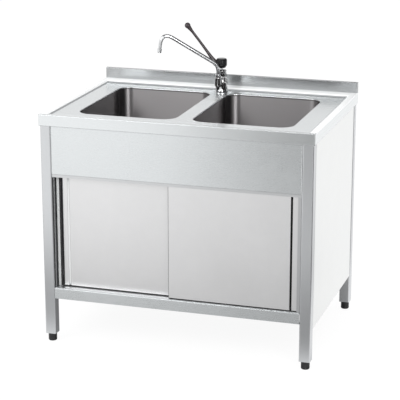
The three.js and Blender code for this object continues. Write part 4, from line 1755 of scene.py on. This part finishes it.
    def _lever(self) -> Form:
        """The long arm, swelling into the hub and ending in a round drop.

        Returns:
            Its form.
        """
        lean = math.radians(90 - self.lever_slope)
        seat = Matrix.Translation((self.lever_seat_reach, 0, self.lever_seat_rise))
        along = self.lever_axis @ seat @ Matrix.Rotation(lean, 4, "Y")
        drop, neck, steps = self.lever_drop, self.lever_length, 11
        stations = [
            (-6.0, 7.0), (-3.0, 9.5), (2.0, 10.6), (8.0, 10.4), (14.0, 9.4),
            (22.0, 8.0), (32.0, 6.8), (44.0, 6.0), (60.0, 5.4), (90.0, 5.0),
            (120.0, 5.0), (145.0, 5.0), (154.0, 5.6), (160.0, 6.6), (166.0, 7.7),
        ]
        first, last = 52, 180
        for step in range(steps + 1):
            turn = math.radians(first + (last - first) * step / steps)
            stations.append((neck - drop * math.cos(turn), drop * math.sin(turn)))
        path, radii = [], []
        for reach, radius in stations:
            share = max(min(reach / neck, 1.0), 0.0)
            path.append(along @ Vector((-self.lever_bow * 4 * share * (1 - share), 0, reach)))
            radii.append(max(radius, 0.05))
        return Form().tube(path, radii, 28).close()

    def build(self) -> None:
        """Builds and dresses the tap."""
        forms = {
            "tap_base": (self._base(), CHROME),
            "tap_lock_nut": (self.lock_nut.form(upright(0.0, self.y)), CHROME),
            "spout": (self._spout(), CHROME),
            "spout_nut": (self.spout_nut.form(self.spout_axis), CHROME),
            "aerator": (self._aerator(), CHROME),
            "tap_cartridge": (self._cartridge(), TRACK_STEEL),
            "tap_hub": (self._hub(), HUB_PLASTIC),
            "lever": (self._lever(), LEVER_COATING),
        }
        settle(self._body(), CAST_CHROME, "tap_body")
        for node, (form, finish) in forms.items():
            dress(form, f"{node}_piece", finish, node)


# ------------------------------------------------------------------------------ studio


@dataclass
class Lamp:
    """A soft rectangular lamp that looks at a point."""

    name: str
    place: tuple[float, float, float]
    aim: tuple[float, float, float]
    size: tuple[float, float]
    power: float
    colour: Colour = WHITE

    def build(self) -> None:
        """Hangs the lamp."""
        data = bpy.data.lights.new(self.name, "AREA")
        data.shape = "RECTANGLE"
        data.size, data.size_y = self.size
        data.energy = self.power
        data.color = self.colour
        lamp = bpy.data.objects.new(self.name, data)
        lamp.location = self.place
        lamp.rotation_euler = (Vector(self.aim) - Vector(self.place)).to_track_quat("-Z", "Y").to_euler()
        bpy.context.scene.collection.objects.link(lamp)


@dataclass
class Studio:
    """White floor, white surroundings, soft lamps and the camera."""

    camera_place: tuple[float, float, float] = (1.6512, -5.3412, 2.0855)
    camera_yaw: float = 0.3018
    camera_pitch: float = 0.279
    focal_pixels: float = 1573.6
    frame_pixels: float = 400.0
    sensor: float = 36.0
    floor_size: float = 60.0
    lamps: list[Lamp] = field(
        default_factory=lambda: [
            Lamp("key_lamp", (-2.2, -3.6, 3.4), (0.0, 0.0, 0.7), (3.2, 2.4), 85.0),
            Lamp("strip_lamp", (1.9, -2.7, 2.1), (0.0, 0.0, 0.75), (1.3, 1.4), 42.0),
        ]
    )

    def _camera(self) -> None:
        """Places the camera where the photograph was taken from."""
        data = bpy.data.cameras.new("photo_camera")
        data.sensor_width = self.sensor
        data.lens = self.focal_pixels / self.frame_pixels * self.sensor
        camera = bpy.data.objects.new("photo_camera", data)
        camera.location = self.camera_place
        camera.rotation_euler = (0.25 * TURN - self.camera_pitch, 0.0, self.camera_yaw)
        bpy.context.scene.collection.objects.link(camera)
        bpy.context.scene.camera = camera

    def _floor_shade(self, graph: Graph) -> Value:
        """How dark each point of the floor is in reflections.

        There is a slanting patch in front, an even one close to the front, a wedge on the right,
        and one under the unit.

        Args:
            graph: The floor's graph.

        Returns:
            0 where it is white, up to 1 where it is black.
        """
        x, y, _ = graph.parts(graph.place())
        front = 1 - y.ramp(-0.68, -0.28)
        reach = front * (1 - x.ramp(0.9, 1.5)) * (0.86 - y.ramp(-3.1, -1.6) * 0.42)
        slanting = (x + y * -0.3).ramp(-0.18, 0.77) * reach
        near = y.ramp(-1.9, -0.8) * front * 0.63
        wedge = (1 - (y + x * -0.65).ramp(-0.1, 0.4)) * (y + x * 1.2).ramp(-0.4, 0.4)
        beside = x.ramp(0.8, 1.2) * wedge * 0.85
        under = (1 - abs(x).ramp(0.46, 0.56)) * (1 - abs(y).ramp(0.30, 0.40)) * 0.8
        return (slanting + near * (1 - slanting)).larger(beside).larger(under)

    def _floor(self) -> None:
        """A plain white floor that keeps the unit's shadow, and is darker in patches in reflections."""
        form = Form()
        half = self.floor_size / 2 / MM
        corners = level(oblong(-half, half, -half, half), 0.0)
        form.mesh.faces.new([form.mesh.verts.new(corner) for corner in corners])
        floor = form.object("floor", PIPE_PLASTIC)
        paint = bpy.data.materials.new("floor_white")
        graph = Graph(paint)
        camera, glossy, through = graph.rays()
        glow = 0.86
        lit = camera.larger(glossy).larger(through) * glow
        colour = graph.blend(self._floor_shade(graph) * (1 - camera), WHITE, BLACK)
        matt = graph.node("ShaderNodeBsdfDiffuse", {}, {"Color": (0.86, 0.86, 0.86)})[0]
        white = graph.node("ShaderNodeEmission", {}, {"Color": colour, "Strength": 1.06})[0]
        mixed = graph.node("ShaderNodeMixShader", {}, {0: lit, 1: matt, 2: white})[0]
        graph.node("ShaderNodeOutputMaterial", {}, {"Surface": mixed})
        floor.data.materials[0] = paint

    def _world(self) -> None:
        """White all round, but dim overhead and on the right in reflections."""
        world = bpy.data.worlds.new("studio")
        bpy.context.scene.world = world
        graph = Graph(world)
        camera, glossy, through = graph.rays()
        x, y, z = graph.parts(graph.coords(Coords.GENERATED))
        overhead = z.ramp(0.40, 0.62) * (1 - z.ramp(0.80, 0.93) * 0.6)
        right = x.ramp(-0.08, 0.16) * y.ramp(-0.5, -0.3)
        dim = overhead.larger(right * z.ramp(0.05, 0.15))
        colour = graph.blend(dim * glossy, (0.95, 0.95, 0.95), (0.10, 0.10, 0.105))
        white = graph.node("ShaderNodeBackground", {}, {"Color": WHITE, "Strength": 1.0})[0]
        room = graph.node("ShaderNodeBackground", {}, {"Color": colour, "Strength": 0.95})[0]
        mixed = graph.node("ShaderNodeMixShader", {}, {0: camera.larger(through), 1: room, 2: white})[0]
        graph.node("ShaderNodeOutputWorld", {}, {"Surface": mixed})

    def build(self) -> None:
        """Sets up the studio."""
        self._camera()
        self._floor()
        self._world()
        for lamp in self.lamps:
            lamp.build()
        bpy.context.scene.view_settings.view_transform = "Standard"


# ------------------------------------------------------------------------------ the whole unit


def main() -> None:
    """Builds and dresses the unit and sets it in the studio."""
    logging.basicConfig(level=logging.INFO, format="%(name)s: %(message)s")
    Studio().build()
    bowls = [Bowl(side) for side in Side]
    Worktop(bowls).build()
    for bowl in bowls:
        bowl.build()
    for side in Side:
        for rear in (False, True):
            Leg(side, rear).build()
        Door(side).build()
    Cupboard().build()
    Drain(bowls).build()
    Tap().build()


if __name__ == "__main__":
    main()
